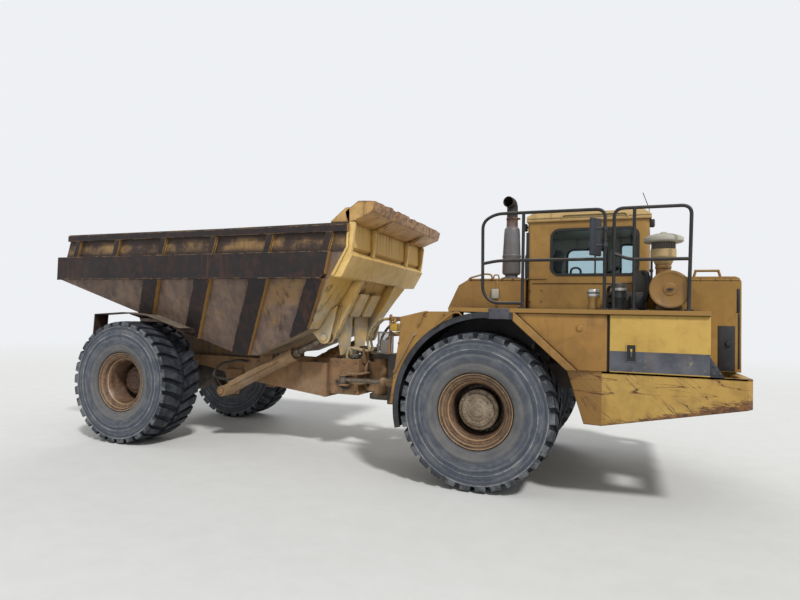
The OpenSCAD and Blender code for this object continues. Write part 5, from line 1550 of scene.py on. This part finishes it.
def make_hitch_parts():
    guard = Piece("hose_guard", "grey_steel")
    x0, x1, y = fx(-1817), fx(-1560), -0.45
    guard.ring_plate(round_rect(x0, x1, 1.504, 1.829, 0.01),
                     round_rect(x0 + 0.02, x1 - 0.02, 1.524, 1.809, 0.006), 1, y - 0.008, y + 0.008)
    guard.grow(row_of, box_corners((x0 + 0.01, y - 0.003, 1.51), (x0 + 0.015, y + 0.003, 1.82)), box_faces,
               Count=14, Step=((x1 - x0 - 0.025) / 13, 0, 0))
    guard.grow(row_of, box_corners((x0 + 0.01, y - 0.002, 1.52), (x1 - 0.01, y + 0.002, 1.525)), box_faces,
               Count=16, Step=(0, 0, 0.0185))
    guard.block((x0 + 0.055, y - 0.012, 1.52), (x0 + 0.2, y - 0.004, 1.71), 0.003)
    guard.done()
    stand = Piece("hose_stand", "chassis_paint")
    for y in (-0.43, 0.43):
        stand.block((px(315), y - 0.03, 1.49), (px(345), y + 0.03, 2.09), 0.006)
        stand.plate([(px(300), 1.50), (px(355), 1.50), (px(345), 1.75)], 1, y - 0.045, y - 0.03)
    stand.block((px(312), -0.46, 1.99), (px(348), 0.46, 2.06), 0.006)
    stand.block((px(312), -0.46, 1.76), (px(340), 0.46, 1.80), 0.006)
    stand.bolts([(px(312), y, 2.025) for y in (-0.4, -0.25, 0.25, 0.4)], (-1, 0, 0), 0.011)
    stand.done()
    brass = Piece("hose_fittings", "brass_fitting")
    for y, z in ((-0.42, 2.02), (-0.30, 2.02), (-0.18, 1.80), (0.18, 1.80), (0.30, 2.02)):
        brass.rod((px(350), y, z), (px(270), y, z), 0.02, sides=6)
        brass.rod((px(275), y, z), (px(255), y, z), 0.026, sides=6)
    brass.block((px(348), -0.5, 1.84), (px(460), -0.36, 1.96), 0.01)
    brass.rod((px(400), -0.43, 1.95), (px(400), -0.43, 2.04), 0.018)
    brass.done()
    post = Piece("hose_bracket_on_hitch", "chassis_paint", "hitch")
    post.plate([(-0.3, 1.33), (-0.12, 1.28), (0.12, 1.28), (0.3, 1.33), (0.3, 1.56), (-0.3, 1.56)], 0,
               px(-184), px(-172), 0.002)
    for y in (-0.25, -0.12, 0.12, 0.25):
        for face, tip in ((-184, -205), (-172, -150)):
            post.rod((px(face), y, 1.52), (px(tip), y, 1.52), 0.022, sides=6)
    post.done()
    for number, start_y, y, start_z, finish in (
            (1, -0.42, -0.25, 2.02, "cream_hose"), (2, -0.30, -0.12, 2.02, "cream_hose"),
            (3, 0.30, 0.25, 2.02, "hose_rubber"), (4, 0.18, 0.12, 1.80, "hose_rubber")):
        start, end = Vector((px(262), start_y, start_z)), Vector((px(-152), y, 1.52))
        hose(f"hitch_hose_{number}", finish,
             [start, start + Vector((-0.1, 0, 0)), start + Vector((-0.27, (y - start_y) * 0.4, -0.13)),
              start + Vector((-0.37, (y - start_y) * 0.7, -0.30)), end + Vector((0.03, 0, 0.10)),
              end + Vector((0.07, 0, 0)), end], 0.021, 0.12)
        hose(f"rear_hose_{number}", finish,
             [Vector((px(x), across, z)) for x, across, z in (
                 (-203, y, 1.52), (-273, y, 1.52), (-420, y * 1.05, 1.56), (-468, y * 1.1, 1.48),
                 (-470, y * 1.1, 1.386))], 0.021, 0.06)


def make_rear_frame_parts():
    piece = Piece("rear_frame_fittings", "chassis_paint", "rear")
    for side in (-1, 1):
        y, flank = side * 0.4205, side * 0.5005
        piece.turned([(0.062, 0), (0.085, 0), (0.085, 0.014), (0.062, 0.014)], (px(-330), y, 1.08), side=side,
                     sides=40)
        piece.bolts([(x, y, z) for x in (px(-230), px(-440), px(-560), px(-660)) for z in (0.88, 1.34)],
                    (0, side, 0), 0.014, 0.01)
        piece.bolts([(rx(x), flank, z) for x in (1100, 1400, 1700) for z in (1.18, 1.28)],
                    (0, side, 0), 0.014, 0.01)
        piece.bolts([(rx(x), flank, 1.25) for x in (-700, -300, 100, 500)], (0, side, 0), 0.014, 0.01)
        piece.turned([(0.0, 0), (0.07, 0), (0.075, 0.01), (0.075, 0.03), (0.05, 0.036), (0, 0.036)],
                     (rx(-680), flank, 1.40), side=side, sides=36)
    for y in (-0.25, 0.12):
        piece.block((px(-640), y - 0.05, 1.3845), (px(-500), y + 0.05, 1.47), 0.012)
    piece.done()
    hook = Piece("head_box_hose", "hose_rubber", "rear")
    hook.pipe([(px(-330), -0.36, 1.08), (px(-330), -0.45, 1.075), (px(-318), -0.475, 1.03),
               (px(-330), -0.468, 0.95), (px(-390), -0.46, 0.93), (px(-480), -0.45, 0.96),
               (px(-560), -0.435, 1.05)], 0.017, round_by=0.05)
    hook.done()
    lump = Piece("head_box_valve", "engine_iron", "rear")
    lump.block((px(-360), -0.36, 1.3845), (px(-250), -0.2, 1.46), 0.01)
    lump.block((px(-340), -0.33, 1.455), (px(-285), -0.24, 1.53), 0.008)
    lump.rod((px(-300), -0.36, 1.42), (px(-300), -0.40, 1.42), 0.02)
    lump.done()


def make_steering_collars():
    for side, name in ((-1, "right"), (1, "left")):
        foot, eye = Vector((px(1550), side * 0.68, 1.1)), Vector((px(-300), side * 0.7, 1.1))
        up = Vector((0, 0, 1))
        way = (eye - foot).normalized()
        turn = way.to_track_quat("Z", "Y").to_matrix()
        piece = Piece("steering_collar_" + name, "cylinder_paint", "steer_barrel_" + name)
        piece.turned([(0.0358, 1.16), (0.064, 1.16), (0.067, 1.168), (0.067, 1.232), (0.06, 1.24),
                      (0.0358, 1.24)], foot, across=2, turn=turn, sides=40)
        piece.turned([(0.0545, 0.12), (0.062, 0.12), (0.062, 0.16), (0.0545, 0.16)], foot, across=2,
                     turn=turn, sides=40)
        piece.pipe([foot + way * far + up * high for far, high in (
            (0.14, 0.055), (0.16, 0.078), (1.05, 0.078), (1.1, 0.058))], 0.01, round_by=0.03)
        piece.done()


make_hoist_parts()
make_hitch_parts()
make_rear_frame_parts()
make_steering_collars()


# Floor and light

studio_white = (238, 240, 243)


def seen_straight(w):
    """One where the camera sees a thing itself, in a mirror or through glass, not by the light it gives."""
    seen = w.node("ShaderNodeLightPath").outputs
    return w.larger(w.larger(seen["Is Camera Ray"], seen["Is Glossy Ray"]), seen["Is Transmission Ray"])


def make_floor():
    data = bpy.data.meshes.new("floor")
    radius, sides = 70, 96
    edge = [(radius * math.cos(a), radius * math.sin(a), 0.0) for a in circle(sides)]
    data.from_pydata(edge, [], [tuple(range(sides))])
    made = bpy.data.objects.new("floor", data)
    bpy.context.collection.objects.link(made)
    material = bpy.data.materials.new("pale_floor")
    material.use_nodes = True
    material.node_tree.nodes.clear()
    w = Wiring(material.node_tree)
    far = w.ramp(w.vector_math("LENGTH", w.here())[1], 12.0, 40.0)
    tone = w.mottled((222, 221, 217), (228, 227, 224), 0.2, 0.8, 3.0, 6.0, 0.7)
    near = w.node("ShaderNodeBsdfPrincipled",
                  {"Base Color": tone, "Roughness": 0.9, "Specular IOR Level": 0.1})
    glow = w.node("ShaderNodeEmission", {"Color": studio_white, "Strength": 1.0})
    both = w.node("ShaderNodeMixShader", {0: w.times(far, seen_straight(w)), 1: near.outputs[0],
                  2: glow.outputs[0]})
    w.node("ShaderNodeOutputMaterial", {0: both.outputs[0]})
    data.materials.append(material)


def make_light():
    world = bpy.data.worlds.new("studio")
    world.use_nodes = True
    world.node_tree.nodes.clear()
    w = Wiring(world.node_tree)
    lit = w.node("ShaderNodeBackground", {"Color": (0.93, 0.97, 1.0, 1.0), "Strength": 0.52})
    plain = w.node("ShaderNodeBackground", {"Color": studio_white, "Strength": 1.0})
    both = w.node("ShaderNodeMixShader", {0: seen_straight(w), 1: lit.outputs[0], 2: plain.outputs[0]})
    w.node("ShaderNodeOutputWorld", {0: both.outputs[0]})
    bpy.context.scene.world = world
    for name, toward, strength, angle in (("key_light", (0.50, -0.52, 0.78), 2.0, 7),
                                          ("back_light", (-0.3, 0.75, 0.6), 0.5, 30)):
        data = bpy.data.lights.new(name, "SUN")
        data.energy = strength
        data.angle = math.radians(angle)
        lamp = bpy.data.objects.new(name, data)
        bpy.context.collection.objects.link(lamp)
        lamp.rotation_euler = Vector(toward).to_track_quat("Z", "Y").to_euler()


make_floor()
make_light()
bpy.context.scene.view_settings.view_transform = "Standard"
